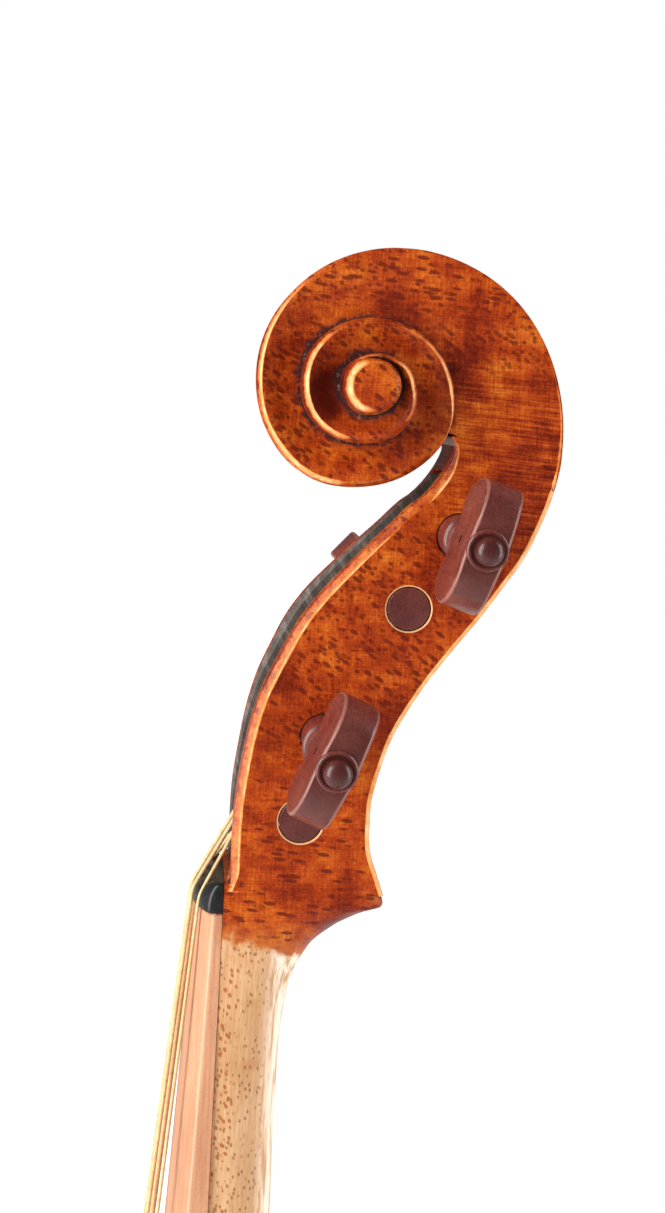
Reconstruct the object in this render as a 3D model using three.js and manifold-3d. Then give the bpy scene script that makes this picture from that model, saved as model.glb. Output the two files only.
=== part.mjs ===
// Baroque viola, in millimetres: x points to the treble side, y to the back and z up the neck to the scroll.
// Sizes and places below are measured from the corner where the nut meets the fingerboard's glue surface.
// The whole instrument is then shifted so that its origin lies where a hook carries the scroll's underside.
import * as THREE from "three";
import { mergeVertices } from "three/addons/utils/BufferGeometryUtils.js";
import Module from "manifold-3d";

const wasm = await Module();
wasm.setup();

// Gaps, and how far cutters run past what they cut
const glueGap = 0.1;
const seatGap = 0.3;
const overrun = 1;
const meshTolerance = 0.08;
const outlineTolerance = 0.12;

// Head: pegbox and scroll
const headHeight = 128.9;
const headDepth = 60.4;
const pegboxHalfWidth = 14;
const cheekTaper = 0.041;
const cheekThickness = 5.2;
const pegboxTop = 93.9;
const pegboxFoot = 5;
const cheekChamfer = 0.6;
const backFluteDepth = 1.5;
const fluteFadeHeight = 22;
const throatFront = 35;
const throatHeight = 89;

// Volute
const eyeY = 22.3;
const eyeZ = 102.5;
const voluteRadius = 37.05;
const voluteHalfWidth = 23.2;
const eyeRadius = 4.9;
const eyeFaceRadius = 4.1;
const eyeHalfWidth = 24.4;
const eyeChamfer = 0.9;
const voluteDish = 1.3;
const voluteChamfer = 0.7;

// Neck and heel
const neckLength = 142;
const neckHalfWidthNut = 12.4;
const neckHalfWidthBody = 15.5;
const neckDepthNut = 12;
const neckDepthBody = 13.6;
const neckBlend = 9;
const heelCurve = 29;
const heelHeightAboveBody = 9;
const heelBackHalfWidth = 10.8;

// Pegs, from the nut up: y and z of each axis, the side its thumb-piece is on, how many degrees that leans
// to the back, and its height as a share of the usual one
const pegEndRadius = 4.1;
const pegHeadRadius = 4.3;
const pegClearance = 0.28;
const pegCollarRadius = 4.9;
const pegCollarThickness = 2.4;
const pegCollarStandoff = 9.6;
const pegNeckRadius = 3.3;
const pegHeadLength = 32.8;
const pegHeadHalfHeight = 12.2;
const pegHeadThickness = 7.5;
const pegHeadEdgeThickness = 7;
const pegRingRadius = 3.78;
const pegRingHeight = 1;
const pegPipRadius = 2.54;
const pegPipReach = 37;
const pegPlaceShares = [
  { string: "c", y: 0.23, z: 0.1474, side: -1, lean: 38, head: 1 },
  { string: "a", y: 0.288, z: 0.2757, side: 1, lean: 23, head: 0.98 },
  { string: "g", y: 0.5375, z: 0.471, side: -1, lean: -48, head: 1.06 },
  { string: "d", y: 0.6865, z: 0.5825, side: 1, lean: 17.5, head: 0.98 },
];
const pegs = pegPlaceShares.map((peg) => ({ ...peg, y: peg.y * headDepth, z: peg.z * headHeight }));

// Strings: distance between neighbours, diameter, where each winds on its peg and its number of loops there
const nutSpacing = 5.4;
const bridgeSpacing = 12.4;
const windingSpacing = 0.45;
const strings = [
  { name: "c", diameter: 1.3, windShare: -0.114, loops: 3, away: -1 },
  { name: "g", diameter: 1.05, windShare: -0.107, loops: 2.6, away: -1 },
  { name: "d", diameter: 0.9, windShare: 0.057, loops: 3, away: 1 },
  { name: "a", diameter: 0.7, windShare: 0.221, loops: 3, away: 1 },
].map((string, i) => {
  const place = i - 1.5;
  const windX = string.windShare * pegboxHalfWidth;
  return { ...string, nutX: place * nutSpacing, bridgeX: place * bridgeSpacing, windX };
});
const stringSides = 6;
const windingSides = 5;
const windingSteps = 16;

// Nut
const nutThickness = 6;
const nutHeight = 6.1;
const nutArch = 26;
const stringSink = 0.25;
const stringRestGap = 0.25;

// Fingerboard
const boardLength = 240;
const boardHalfWidthEnd = 20.5;
const boardCrestNut = 5.3;
const boardCrestEnd = 19.6;
const boardScoop = 1.1;
const boardArchNut = 26;
const boardArchEnd = 38;
const boardEdgeEnd = 4;
const boardShell = 6.5;

// Body
const bodyLength = 405;
const upperHalfWidth = 96;
const waistHalfWidth = 66;
const lowerHalfWidth = 120;
const overstand = 12;
const ribHeight = 38;
const ribThickness = 1.4;
const edgeOverhang = 2.8;
const edgeThickness = 4;
const plateThickness = 3.2;
const bellyArch = 17;
const backArch = 16.5;
const fluteInset = 8;
const fluteDrop = 0.9;
const glueBorder = 11;
const buttonRadius = 11.5;
const liningWidth = 2.2;
const liningHeight = 7.5;
const topBlockHalfWidth = 25;
const topBlockDepth = 19;
const bottomBlockHalfWidth = 24;
const bottomBlockDepth = 17;
const cornerBlockWidth = 27;
const cornerBlockAbove = 27;
const cornerBlockBelow = 30;

// Bridge, sound post and bass bar
const stopLength = 215;
const bridgeHeightAtBoard = 37.6;
const bridgeHalfWidth = 24.5;
const bridgeFootThickness = 5.2;
const bridgeTopThickness = 1.9;
const bridgeArch = 42;
const postRadius = 3.2;
const postInset = 17.5;
const postBehindBridge = 5.6;
const bassBarInset = 18.5;
const bassBarTopRoom = 62.5;
const bassBarFootRoom = 37.5;
const bassBarHeight = 10;
const bassBarEndHeight = 3;
const bassBarThickness = 5.6;

// Tailpiece, saddle, tail gut and end button
const stringAfterLength = 56;
const tailpieceThickness = 5;
const tailpieceHalfWidthTop = 22;
const tailpieceHalfWidthFoot = 11;
const tailpieceFootAboveEdge = 12;
const tailSlotSpacing = 9.6;
const tailSlotLength = 7;
const tailSlotInset = 5;
const knotRadius = 1.5;
const saddleHalfWidth = 17;
const saddleDepth = 6.5;
const saddleHeight = 9.4;
const tailGutDiameter = 1.9;
const tailGutSpread = 5;
const tailGutSocket = 9;
const buttonShaftRadius = 3.9;
const buttonShaftLength = 22;
const buttonNeckRadius = 4.4;
const buttonRimRadius = 8.6;
const buttonGroove = 4.6;
const buttonKnob = 7.2;

// Nails through the top block into the heel
const nailRadius = 1.3;
const nailHeadRadius = 3.2;
const nailHeadThickness = 1.4;
const nailReach = 24;
const nailCover = 3;
const nailSpacing = 9;
const nailFirst = 15;

// Sound holes
const holeUpperRadius = 3.9;
const holeLowerRadius = 5;
const holeStemWidth = 6.4;

// Where the parts of the body lie
const bellyPlane = overstand;
const backPlane = overstand + ribHeight;
const bodyTop = -neckLength;
const bodyFoot = bodyTop - bodyLength;
const bridgeZ = bodyTop - stopLength;
const ribFoot = bodyFoot + edgeOverhang;
const ribTop = bodyTop - edgeOverhang;
const ribMiddle = (bellyPlane + backPlane) / 2;

// Small helpers

// A value between the rows of a table of pairs, on a smooth curve
function smoothAt(table, at) {
  const last = table.length - 1;
  if (at <= table[0][0]) return table[0][1];
  if (at >= table[last][0]) return table[last][1];
  let i = 0;
  while (at > table[i + 1][0]) i += 1;
  const slope = (a, b) => (table[b][1] - table[a][1]) / (table[b][0] - table[a][0]);
  const span = table[i + 1][0] - table[i][0];
  const t = (at - table[i][0]) / span;
  const start = slope(Math.max(i - 1, 0), i + 1) * span;
  const end = slope(i, Math.min(i + 2, last)) * span;
  const [a, b] = [table[i][1], table[i + 1][1]];
  const curve = a + start * t + (3 * (b - a) - 2 * start - end) * t * t;
  return curve + (2 * (a - b) + start + end) * t * t * t;
}

const scaled = (table, keyScale, valueScale) => table.map(([k, v]) => [k * keyScale, v * valueScale]);
const mix = THREE.MathUtils.lerp;
const clamp = THREE.MathUtils.clamp;
const smoothstep = (value, low, high) => THREE.MathUtils.smoothstep(value, low, high);
const sagitta = (radius, half) => radius - Math.sqrt(Math.max(radius * radius - half * half, 0));
const range = (count) => Array.from({ length: count }, (_, i) => i);

// A closed mesh as a solid, with its faces turned outward
function solidOf(geometry) {
  const bare = geometry.clone();
  bare.deleteAttribute("normal");
  bare.deleteAttribute("uv");
  const merged = mergeVertices(bare, 1e-4);
  const points = new Float32Array(merged.attributes.position.array);
  const faces = Uint32Array.from(merged.index.array);
  let volume = 0;
  const corner = (i) => new THREE.Vector3().fromArray(points, 3 * faces[i]);
  for (let i = 0; i < faces.length; i += 3) {
    volume += corner(i).dot(corner(i + 1).cross(corner(i + 2)));
  }
  if (volume < 0) {
    for (let i = 0; i < faces.length; i += 3) {
      [faces[i], faces[i + 1]] = [faces[i + 1], faces[i]];
    }
  }
  const kept = [];
  for (let i = 0; i < faces.length; i += 3) {
    const [a, b, c] = faces.subarray(i, i + 3);
    if (a !== b && b !== c && c !== a) kept.push(a, b, c);
  }
  const triVerts = Uint32Array.from(kept);
  return new wasm.Manifold(new wasm.Mesh({ numProp: 3, vertProperties: points, triVerts }));
}

function geometryOf(solid) {
  const mesh = solid.getMesh();
  const geometry = new THREE.BufferGeometry();
  geometry.setAttribute("position", new THREE.BufferAttribute(new Float32Array(mesh.vertProperties), 3));
  geometry.setIndex(new THREE.BufferAttribute(new Uint32Array(mesh.triVerts), 1));
  return geometry;
}

const union = (solids) => solids.reduce((sum, next) => sum.add(next));

// The largest body of a solid, without crumbs and without hollows that nothing opens
function mainBody(solid) {
  const bodies = solid.decompose().sort((a, b) => b.volume() - a.volume());
  return bodies[0];
}

// A solid through closed rings of points, all with the same count, capped by a flat face at each end
function loft(rings) {
  const count = rings[0].length;
  const points = rings.flat();
  const faces = [];
  for (let i = 0; i + 1 < rings.length; i += 1) {
    for (let j = 0; j < count; j += 1) {
      const k = (j + 1) % count;
      const [a, b, c, d] = [i * count + j, i * count + k, (i + 1) * count + k, (i + 1) * count + j];
      faces.push(a, b, c, a, c, d);
    }
  }
  for (const [ring, turned] of [[0, true], [rings.length - 1, false]]) {
    const middle = rings[ring].reduce((sum, p) => sum.add(p), new THREE.Vector3()).divideScalar(count);
    const centre = points.push(middle) - 1;
    for (let j = 0; j < count; j += 1) {
      const [a, b] = [ring * count + j, ring * count + ((j + 1) % count)];
      faces.push(...(turned ? [b, a, centre] : [a, b, centre]));
    }
  }
  const geometry = new THREE.BufferGeometry().setFromPoints(points);
  geometry.setIndex(faces);
  return solidOf(geometry);
}

// A flat outline in x and z, as a wall from one depth y to another
function prismXZ(outline, nearY, farY) {
  const shape = new THREE.Shape(outline.map(([x, z]) => new THREE.Vector2(x, z)));
  const geometry = new THREE.ExtrudeGeometry(shape, { depth: farY - nearY, bevelEnabled: false });
  const place = new THREE.Matrix4().set(1, 0, 0, 0, 0, 0, 1, nearY, 0, 1, 0, 0, 0, 0, 0, 1);
  return solidOf(geometry.applyMatrix4(place));
}

// A flat outline in y and z, between two places on x
function prismYZ(outline, lowX, highX) {
  const shape = new THREE.Shape(outline.map(([y, z]) => new THREE.Vector2(y, z)));
  const geometry = new THREE.ExtrudeGeometry(shape, { depth: highX - lowX, bevelEnabled: false });
  const place = new THREE.Matrix4().set(0, 0, 1, lowX, 1, 0, 0, 0, 0, 1, 0, 0, 0, 0, 0, 1);
  return solidOf(geometry.applyMatrix4(place));
}

function box(low, high) {
  const [a, b] = [new THREE.Vector3(...low), new THREE.Vector3(...high)];
  const size = b.clone().sub(a);
  const middle = a.clone().add(b).multiplyScalar(0.5);
  return solidOf(new THREE.BoxGeometry(size.x, size.y, size.z).translate(middle.x, middle.y, middle.z));
}

// A round bar along x; the radii belong to its low and high ends
function barX(y, z, lowX, lowRadius, highX, highRadius, sides) {
  const bar = new THREE.CylinderGeometry(highRadius, lowRadius, highX - lowX, sides);
  return solidOf(bar.rotateZ(-Math.PI / 2).translate((lowX + highX) / 2, y, z));
}

function barZ(x, y, lowZ, lowRadius, highZ, highRadius, sides) {
  const bar = new THREE.CylinderGeometry(highRadius, lowRadius, highZ - lowZ, sides);
  return solidOf(bar.rotateX(Math.PI / 2).translate(x, y, (lowZ + highZ) / 2));
}

// The direction of a line at one of its points
function directionAt(points, i) {
  const before = points[Math.max(i - 1, 0)];
  const after = points[Math.min(i + 1, points.length - 1)];
  return after.clone().sub(before).normalize();
}

// A ring of points square to a line; phase is how far the first is turned, in steps from one to the next
function ringAt(middle, along, out, radius, sides, phase) {
  const across = along.clone().cross(out);
  return range(sides).map((j) => {
    const angle = (2 * Math.PI * (j + phase)) / sides;
    const place = middle.clone().addScaledVector(out, radius * Math.cos(angle));
    return place.addScaledVector(across, radius * Math.sin(angle));
  });
}

// The part of a direction that is square to a line
function squareTo(direction, along) {
  return direction.clone().addScaledVector(along, -direction.dot(along)).normalize();
}

// A tube through points, each ring square to the line, with one side of it turned to x
function tube(points, radius, sides) {
  const rings = points.map((p, i) => {
    const along = directionAt(points, i);
    return ringAt(p, along, squareTo(new THREE.Vector3(1, 0, 0), along), radius, sides, 0.5);
  });
  return loft(rings);
}

// Outlines of the pegbox seen from the side, as shares of the head's height and depth
const pegboxFrontShares = [
  [0.05, 0.017], [0.157, 0.018], [0.218, 0.031], [0.287, 0.055], [0.34, 0.088], [0.393, 0.139],
  [0.444, 0.195], [0.484, 0.255], [0.524, 0.329], [0.562, 0.404], [0.591, 0.464], [0.621, 0.523],
  [0.638, 0.568], [0.664, 0.613], [0.691, 0.646], [0.712, 0.659], [0.7285, 0.641],
];
const pegboxBackShares = [
  [0.04, 0.508], [0.05, 0.5], [0.073, 0.482], [0.095, 0.464], [0.118, 0.454], [0.163, 0.452],
  [0.185, 0.455], [0.23, 0.477], [0.276, 0.508], [0.322, 0.558], [0.368, 0.619], [0.414, 0.69],
  [0.46, 0.765], [0.507, 0.833], [0.552, 0.896], [0.598, 0.94], [0.643, 0.974], [0.691, 0.997], [0.7285, 1],
];
const troughFloorShares = [
  [0.0496, 0.224], [0.093, 0.32], [0.147, 0.348], [0.202, 0.358], [0.272, 0.4], [0.33, 0.462],
  [0.396, 0.55], [0.458, 0.648], [0.512, 0.722], [0.566, 0.774], [0.613, 0.805], [0.648, 0.786],
  [0.667, 0.72], [0.677, 0.635],
];
const frontLine = scaled(pegboxFrontShares, headHeight, headDepth);
const backLine = scaled(pegboxBackShares, headHeight, headDepth);
const troughLine = scaled(troughFloorShares, headHeight, headDepth);
const cheekX = (z) => pegboxHalfWidth - cheekTaper * z;
const troughX = (z) => cheekX(z) - cheekThickness;

// Radius of the spiral at every 30 degrees from 30 below level, as shares of its radius level with the eye
const voluteRadiusShares = [
  1.123, 1, 0.891, 0.78, 0.694, 0.631, 0.586, 0.5565, 0.551, 0.553, 0.5185, 0.498, 0.4805, 0.4425, 0.3995,
  0.3617, 0.344, 0.3415, 0.343, 0.34, 0.3345, 0.3104, 0.286, 0.2753, 0.2537, 0.2186, 0.2, 0.1727, 0.1592,
  0.155, 0.154, 0.1535, 0.15, 0.1457, 0.1404, 0.1336, 0.127,
];
const voluteRadii = voluteRadiusShares.map((share, i) => [30 * (i - 1), share * voluteRadius]);

// How far the spiral's edge stands from the middle, by angle, as shares of its half width at the eye
const voluteWidthShares = [
  [-30, 0.457], [0, 0.422], [90, 0.345], [180, 0.302], [270, 0.345], [334, 0.461], [360, 0.484],
  [450, 0.565], [540, 0.651], [630, 0.754], [720, 0.862], [810, 0.931], [900, 0.97], [1060, 1],
];
const voluteWidths = voluteWidthShares.map(([angle, share]) => [angle, share * voluteHalfWidth]);
const voluteStart = -26;
const voluteStep = 20;
const voluteTurnSteps = 360 / voluteStep;
const voluteTurns = 3;
const voluteMergeTurn = 334;
const voluteMergeSpan = 45;

// The whole spiral: on each side one sheet winds from the pegbox up to the eye, with a wall between turns
function volute() {
  const columns = voluteTurns * voluteTurnSteps;
  const points = [];
  const faces = [];
  const add = (r, angle, x) => {
    const turned = THREE.MathUtils.degToRad(angle);
    return points.push(new THREE.Vector3(x, eyeY + r * Math.cos(turned), eyeZ + r * Math.sin(turned))) - 1;
  };
  const quad = (side, a, b, c, d) => faces.push(...(side > 0 ? [a, b, c, a, c, d] : [a, c, b, a, d, c]));
  const sheet = (side) => range(columns + 1).map((i) => {
    const angle = voluteStart + i * voluteStep;
    const outer = smoothAt(voluteRadii, angle);
    const inner = smoothAt(voluteRadii, angle + 360);
    const edge = smoothAt(voluteWidths, angle);
    const merge = smoothstep(Math.abs(angle - voluteMergeTurn), 0, voluteMergeSpan);
    const chamfer = voluteChamfer * mix(0.1, 1, merge);
    const settled = smoothstep(angle, 0, 75);
    const up = Math.sin(THREE.MathUtils.degToRad(angle));
    const face = (r, drop) => [r, mix(cheekX(eyeZ + r * up), edge - drop, settled)];
    const rows = [
      face(inner, voluteDish),
      face(mix(inner, outer, 0.3), voluteDish),
      face(mix(inner, outer, 0.68), 0.5 * voluteDish),
      face(outer - 2 * chamfer, 0),
      face(outer - 0.5 * chamfer, 0.3 * chamfer),
      face(outer, chamfer),
    ];
    if (i <= voluteTurnSteps) rows.push([outer - backFluteDepth, edge * 0.52], [outer, edge * 0.07]);
    return rows.map(([r, x]) => add(r, angle, side * x));
  });
  const sides = { "1": sheet(1), "-1": sheet(-1) };
  const faceRows = 6;
  for (const side of [1, -1]) {
    const grid = sides[side];
    const centre = add(0, 0, side * (smoothAt(voluteWidths, voluteStart + 2 * 360) - 2 * voluteDish));
    for (let i = 0; i < columns; i += 1) {
      const [here, next] = [grid[i], grid[i + 1]];
      const rows = i < voluteTurnSteps ? here.length : faceRows;
      for (let j = 0; j + 1 < rows; j += 1) quad(side, here[j], next[j], next[j + 1], here[j + 1]);
      if (i >= voluteTurnSteps) {
        const [below, belowNext] = [grid[i - voluteTurnSteps], grid[i + 1 - voluteTurnSteps]];
        quad(side, here[faceRows - 1], next[faceRows - 1], belowNext[0], below[0]);
      }
    }
    const first = columns - voluteTurnSteps;
    const end = grid[columns];
    const loop = [grid[first][0], ...range(faceRows).map((j) => end[faceRows - 1 - j])];
    for (let i = columns - 1; i > first; i -= 1) loop.push(grid[i][0]);
    loop.forEach((a, i) => {
      const b = loop[(i + 1) % loop.length];
      faces.push(...(side > 0 ? [a, b, centre] : [b, a, centre]));
    });
  }
  const [right, left] = [sides[1], sides[-1]];
  const last = right[0].length - 1;
  for (let i = 0; i < voluteTurnSteps; i += 1) {
    quad(1, right[i][last], right[i + 1][last], left[i + 1][last], left[i][last]);
  }
  const seam = voluteTurnSteps;
  const start = [...right[0], ...[...left[0]].reverse()];
  const end = [...left[seam].slice(faceRows - 1), ...right[seam].slice(faceRows - 1).reverse()];
  const ring = [...start, ...end];
  const fromEye = ({ y, z }) => Math.hypot(y - eyeY, z - eyeZ);
  const flat = ring.map((k) => new THREE.Vector2(points[k].x, fromEye(points[k])));
  const cap = THREE.ShapeUtils.triangulateShape(flat, []);
  const area = (a, b, c) => (b.x - a.x) * (c.y - a.y) - (c.x - a.x) * (b.y - a.y);
  const capArea = cap.reduce((sum, [a, b, c]) => sum + area(flat[a], flat[b], flat[c]), 0);
  const turned = Math.sign(capArea) !== Math.sign(THREE.ShapeUtils.area(flat));
  for (const [a, b, c] of cap) faces.push(ring[a], ...(turned ? [ring[c], ring[b]] : [ring[b], ring[c]]));
  const geometry = new THREE.BufferGeometry().setFromPoints(points);
  geometry.setIndex(faces);
  return solidOf(geometry);
}

const eyeFacets = 20;

// The eye: a short bar across the scroll with chamfered ends
function eye() {
  const shoulder = eyeHalfWidth - eyeChamfer;
  const bar = (...ends) => barX(eyeY, eyeZ, ...ends, eyeFacets);
  return union([
    bar(-eyeHalfWidth, eyeFaceRadius, -shoulder, eyeRadius),
    bar(-shoulder, eyeRadius, shoulder, eyeRadius),
    bar(shoulder, eyeRadius, eyeHalfWidth, eyeFaceRadius),
  ]);
}

// Heights at which the pegbox's back needs a section that its front doesn't
const pegboxExtraShares = [0.1, 0.17, 0.26, 0.36];

// The pegbox from the chin up to the throat, before its trough is cut
function pegboxBlank() {
  const extra = pegboxExtraShares.map((share) => share * pegboxTop);
  const heights = [pegboxFoot, ...frontLine.map(([z]) => z).slice(1, -1), ...extra, pegboxTop];
  heights.sort((a, b) => a - b);
  const fluteShares = [[1, 0], [0.78, 0.55], [0.52, 1], [0.26, 0.6], [0.07, 0]];
  const rings = heights.map((z) => {
    const [front, back, half] = [smoothAt(frontLine, z), smoothAt(backLine, z), cheekX(z)];
    const depth = backFluteDepth * smoothstep(z, pegboxFoot, fluteFadeHeight);
    const side = [[half, front], [half, back - cheekChamfer]];
    const inner = half - cheekChamfer;
    const flute = fluteShares.map(([across, deep]) => [across * inner, back - deep * depth]);
    const right = [...side, ...flute];
    const left = right.map(([x, y]) => [-x, y]).reverse();
    return [...right, ...left].map(([x, y]) => new THREE.Vector3(x, y, z));
  });
  return loft(rings);
}

// Stations down the neck: height, depth at the middle and how square the section is
const chinShares = [
  [0.0497, 0.499, 0.14], [0.027, 0.513, 0.2], [0.0155, 0.519, 0.3], [0.01, 0.507, 0.42],
  [0.0035, 0.474, 0.5], [-0.0075, 0.43, 0.58], [-0.0195, 0.389, 0.64], [-0.048, 0.315, 0.72],
  [-0.078, 0.275, 0.8], [-0.104, 0.249, 0.85], [-0.16, 0.224, 0.89],
];
const straightShares = [0.3, 0.5, 0.7];
const neckEndSquareness = 0.9;
const heelSquareness = 0.55;
const neckSectionSteps = 14;

function neckSection(z, depth, half, squareness, backHalf) {
  return range(neckSectionSteps + 1).map((i) => {
    const angle = (Math.PI * i) / neckSectionSteps;
    const [c, s] = [Math.cos(angle), Math.sin(angle)];
    const deep = Math.abs(s) ** squareness;
    const narrowed = mix(half, backHalf, deep);
    const x = i * 2 === neckSectionSteps ? 0 : narrowed * Math.sign(c) * Math.abs(c) ** squareness;
    return new THREE.Vector3(x, depth * (i === 0 || i === neckSectionSteps ? 0 : deep), z);
  });
}

function neckHalfWidth(z) {
  if (z >= 0) return cheekX(z);
  const neck = mix(neckHalfWidthNut, neckHalfWidthBody, -z / neckLength);
  return mix(pegboxHalfWidth, neck, smoothstep(-z, 0, neckBlend));
}

function neckBlank() {
  const stations = chinShares.map(([zShare, depthShare, squareness]) => {
    const z = zShare * headHeight;
    return neckSection(z, depthShare * headDepth, neckHalfWidth(z), squareness, neckHalfWidth(z));
  });
  const heelTop = bodyTop + heelHeightAboveBody;
  const curveTop = heelTop + heelCurve;
  const heelFoot = ribTop + seatGap;
  const heelDepth = backPlane - glueGap;
  for (const share of straightShares) {
    const z = share * curveTop;
    const depth = mix(neckDepthNut, neckDepthBody, share);
    stations.push(neckSection(z, depth, neckHalfWidth(z), neckEndSquareness, neckHalfWidth(z)));
  }
  for (const share of [0, 0.3, 0.5, 0.68, 0.82, 0.92, 0.98, 1]) {
    const z = mix(curveTop, heelTop, share);
    const curve = 1 - Math.sqrt(1 - share * share);
    const squareness = mix(neckEndSquareness, heelSquareness, share);
    const backHalf = mix(neckHalfWidth(z), heelBackHalfWidth, curve);
    const depth = mix(neckDepthBody, heelDepth, curve);
    stations.push(neckSection(z, depth, neckHalfWidth(z), squareness, backHalf));
  }
  const half = neckHalfWidth(heelFoot);
  stations.push(neckSection(heelFoot, heelDepth, half, heelSquareness, heelBackHalfWidth));
  return loft(stations);
}

function trough() {
  const rings = troughLine.map(([z, floor]) => {
    const front = smoothAt(frontLine, z) - 3 * overrun;
    const half = troughX(z);
    const corners = [[half, front], [half, floor - overrun], [half - overrun, floor]];
    const left = corners.map(([x, y]) => [-x, y]).reverse();
    return [...corners, ...left].map(([x, y]) => new THREE.Vector3(x, y, z));
  });
  return loft(rings);
}

// The peg's taper, by distance from the outer face of the cheek at its small end
const pegFacets = 16;
const pegTaper = (pegHeadRadius - pegEndRadius) / (2 * pegboxHalfWidth);
const pegRadiusAt = (peg, x) => pegEndRadius + pegTaper * (x * peg.side + cheekX(peg.z));

function pegHole(peg) {
  const reach = cheekX(peg.z) + overrun;
  const radii = [-reach, reach].map((x) => pegRadiusAt(peg, x) + pegClearance);
  return barX(peg.y, peg.z, -reach, radii[0], reach, radii[1], pegFacets);
}

function nailPlaces() {
  return range(3).map((i) => nailFirst + nailSpacing * i);
}

// The tip of the nail at a depth: its full reach, or less where the heel's curve leaves too little wood over it
function nailTip(y) {
  const heelTop = bodyTop + heelHeightAboveBody;
  const curve = clamp((y + nailRadius - neckDepthBody) / (backPlane - glueGap - neckDepthBody), 0, 1);
  const surface = mix(heelTop + heelCurve, heelTop, Math.sqrt(1 - (1 - curve) ** 2));
  return Math.min(ribTop + nailReach, surface - nailCover);
}

function neckAndScroll() {
  let head = union([pegboxBlank(), neckBlank(), volute(), eye()]);
  head = head.subtract(trough());
  for (const peg of pegs) head = head.subtract(pegHole(peg));
  for (const y of nailPlaces()) {
    const radius = nailRadius + seatGap;
    head = head.subtract(barZ(0, y, ribTop - overrun, radius, nailTip(y) + overrun, radius, 8));
  }
  return mainBody(head.simplify(meshTolerance));
}

// Pegs

// Half outline of the thumb-piece: distance from the cheek and height from the peg's axis, as shares
const thumbShares = [
  [0.42, 0.2], [0.4, 0.34], [0.345, 0.52], [0.34, 0.66], [0.4, 0.84], [0.55, 0.97], [0.77, 1], [0.88, 0.92],
  [0.955, 0.78], [1, 0.4],
];
const thumbRootShare = 0.45;

function pegSolid(peg) {
  const cheek = cheekX(peg.z);
  const out = (distance) => peg.side * (cheek + distance);
  const bar = (from, fromRadius, to, toRadius, sides) =>
    out(from) < out(to)
      ? barX(0, 0, out(from), fromRadius, out(to), toRadius, sides)
      : barX(0, 0, out(to), toRadius, out(from), fromRadius, sides);
  const shaftEnd = -2 * cheek;
  const high = peg.head * pegHeadHalfHeight;
  const outline = thumbShares.map(([along, up]) => [out(along * pegHeadLength), up * high]);
  const full = [...outline, ...outline.map(([x, z]) => [x, -z]).reverse()];
  const half = pegHeadThickness / 2;
  const slab = prismXZ(full, -half, half);
  const edges = pegHeadEdgeThickness / 2;
  const wedge = prismYZ(
    [
      [-edges, high + overrun], [-half, 0], [-edges, -high - overrun],
      [edges, -high - overrun], [half, 0], [edges, high + overrun],
    ],
    Math.min(out(0), out(pegPipReach)),
    Math.max(out(0), out(pegPipReach)),
  );
  const collarEnd = pegCollarStandoff + pegCollarThickness;
  const [ringStart, ringEnd] = [pegHeadLength - 2 * pegRingHeight, pegHeadLength + pegRingHeight];
  const parts = [
    bar(shaftEnd, pegRadiusAt(peg, out(shaftEnd)), pegCollarStandoff, pegRadiusAt(peg, out(0)), pegFacets),
    bar(pegCollarStandoff - overrun / 2, pegCollarRadius, collarEnd, pegCollarRadius, pegFacets),
    bar(collarEnd - overrun / 2, pegNeckRadius, thumbRootShare * pegHeadLength, pegNeckRadius, pegFacets),
    slab.intersect(wedge),
    bar(ringStart, pegRingRadius, ringEnd, pegRingRadius, pegFacets),
  ];
  const pip = new THREE.SphereGeometry(pegPipRadius, 10, 6).translate(out(pegPipReach - pegPipRadius), 0, 0);
  return union([...parts, solidOf(pip)]);
}

// Strings and their windings

const stringRadius = (string) => string.diameter / 2;
const pegOf = (string) => pegs.find((peg) => peg.string === string.name);
const nutTop = (x) => -(nutHeight - sagitta(nutArch, Math.abs(x)));

// The circle that a string's centre line follows round its peg
function windingRadius(string) {
  const peg = pegOf(string);
  const widest = Math.max(pegRadiusAt(peg, string.windX), pegRadiusAt(peg, windingEndX(string)));
  return widest + seatGap + stringRadius(string);
}

const windingPitch = (string) => string.diameter + windingSpacing;
const windingEndX = (string) => string.windX + string.away * windingPitch(string) * string.loops;

// Where the straight string leaves the nut, on the side of the pegbox
function nutExit(string) {
  return new THREE.Vector3(
    string.nutX,
    nutTop(string.nutX) + stringSink + nutThickness * 0.12,
    nutThickness * 0.72,
  );
}

// The strings of the two upper pegs bend a little over the peg of the highest string
function restPoint(string) {
  const under = pegs[1];
  if (pegOf(string).z <= under.z) return nutExit(string);
  const clear = pegRadiusAt(under, 0) + stringRadius(string) + stringRestGap;
  const exit = nutExit(string);
  const [dy, dz] = [under.y - exit.y, under.z - exit.z];
  const angle = Math.atan2(dy, dz) - Math.asin(clear / Math.hypot(dy, dz));
  const share = (under.z - exit.z) / (pegOf(string).z - exit.z);
  const x = mix(string.nutX, string.windX, share);
  return new THREE.Vector3(x, under.y - clear * Math.cos(angle), under.z + clear * Math.sin(angle));
}

// The angle, about the peg's axis, at which the string from the nut touches that circle in front of the peg
function tangentAngle(string) {
  const peg = pegOf(string);
  const start = restPoint(string);
  const [dy, dz] = [start.y - peg.y, start.z - peg.z];
  return Math.atan2(dz, dy) - Math.acos(windingRadius(string) / Math.hypot(dy, dz));
}

function pointOnPeg(string, angle, x) {
  const peg = pegOf(string);
  const radius = windingRadius(string);
  return new THREE.Vector3(x, peg.y + radius * Math.cos(angle), peg.z + radius * Math.sin(angle));
}

function windingPoints(string) {
  const start = tangentAngle(string);
  const steps = Math.round(string.loops * windingSteps);
  return range(steps + 1).map((i) => {
    const along = i / steps;
    const angle = start - 2 * Math.PI * along * string.loops;
    return pointOnPeg(string, angle, mix(string.windX, windingEndX(string), along));
  });
}

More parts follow.
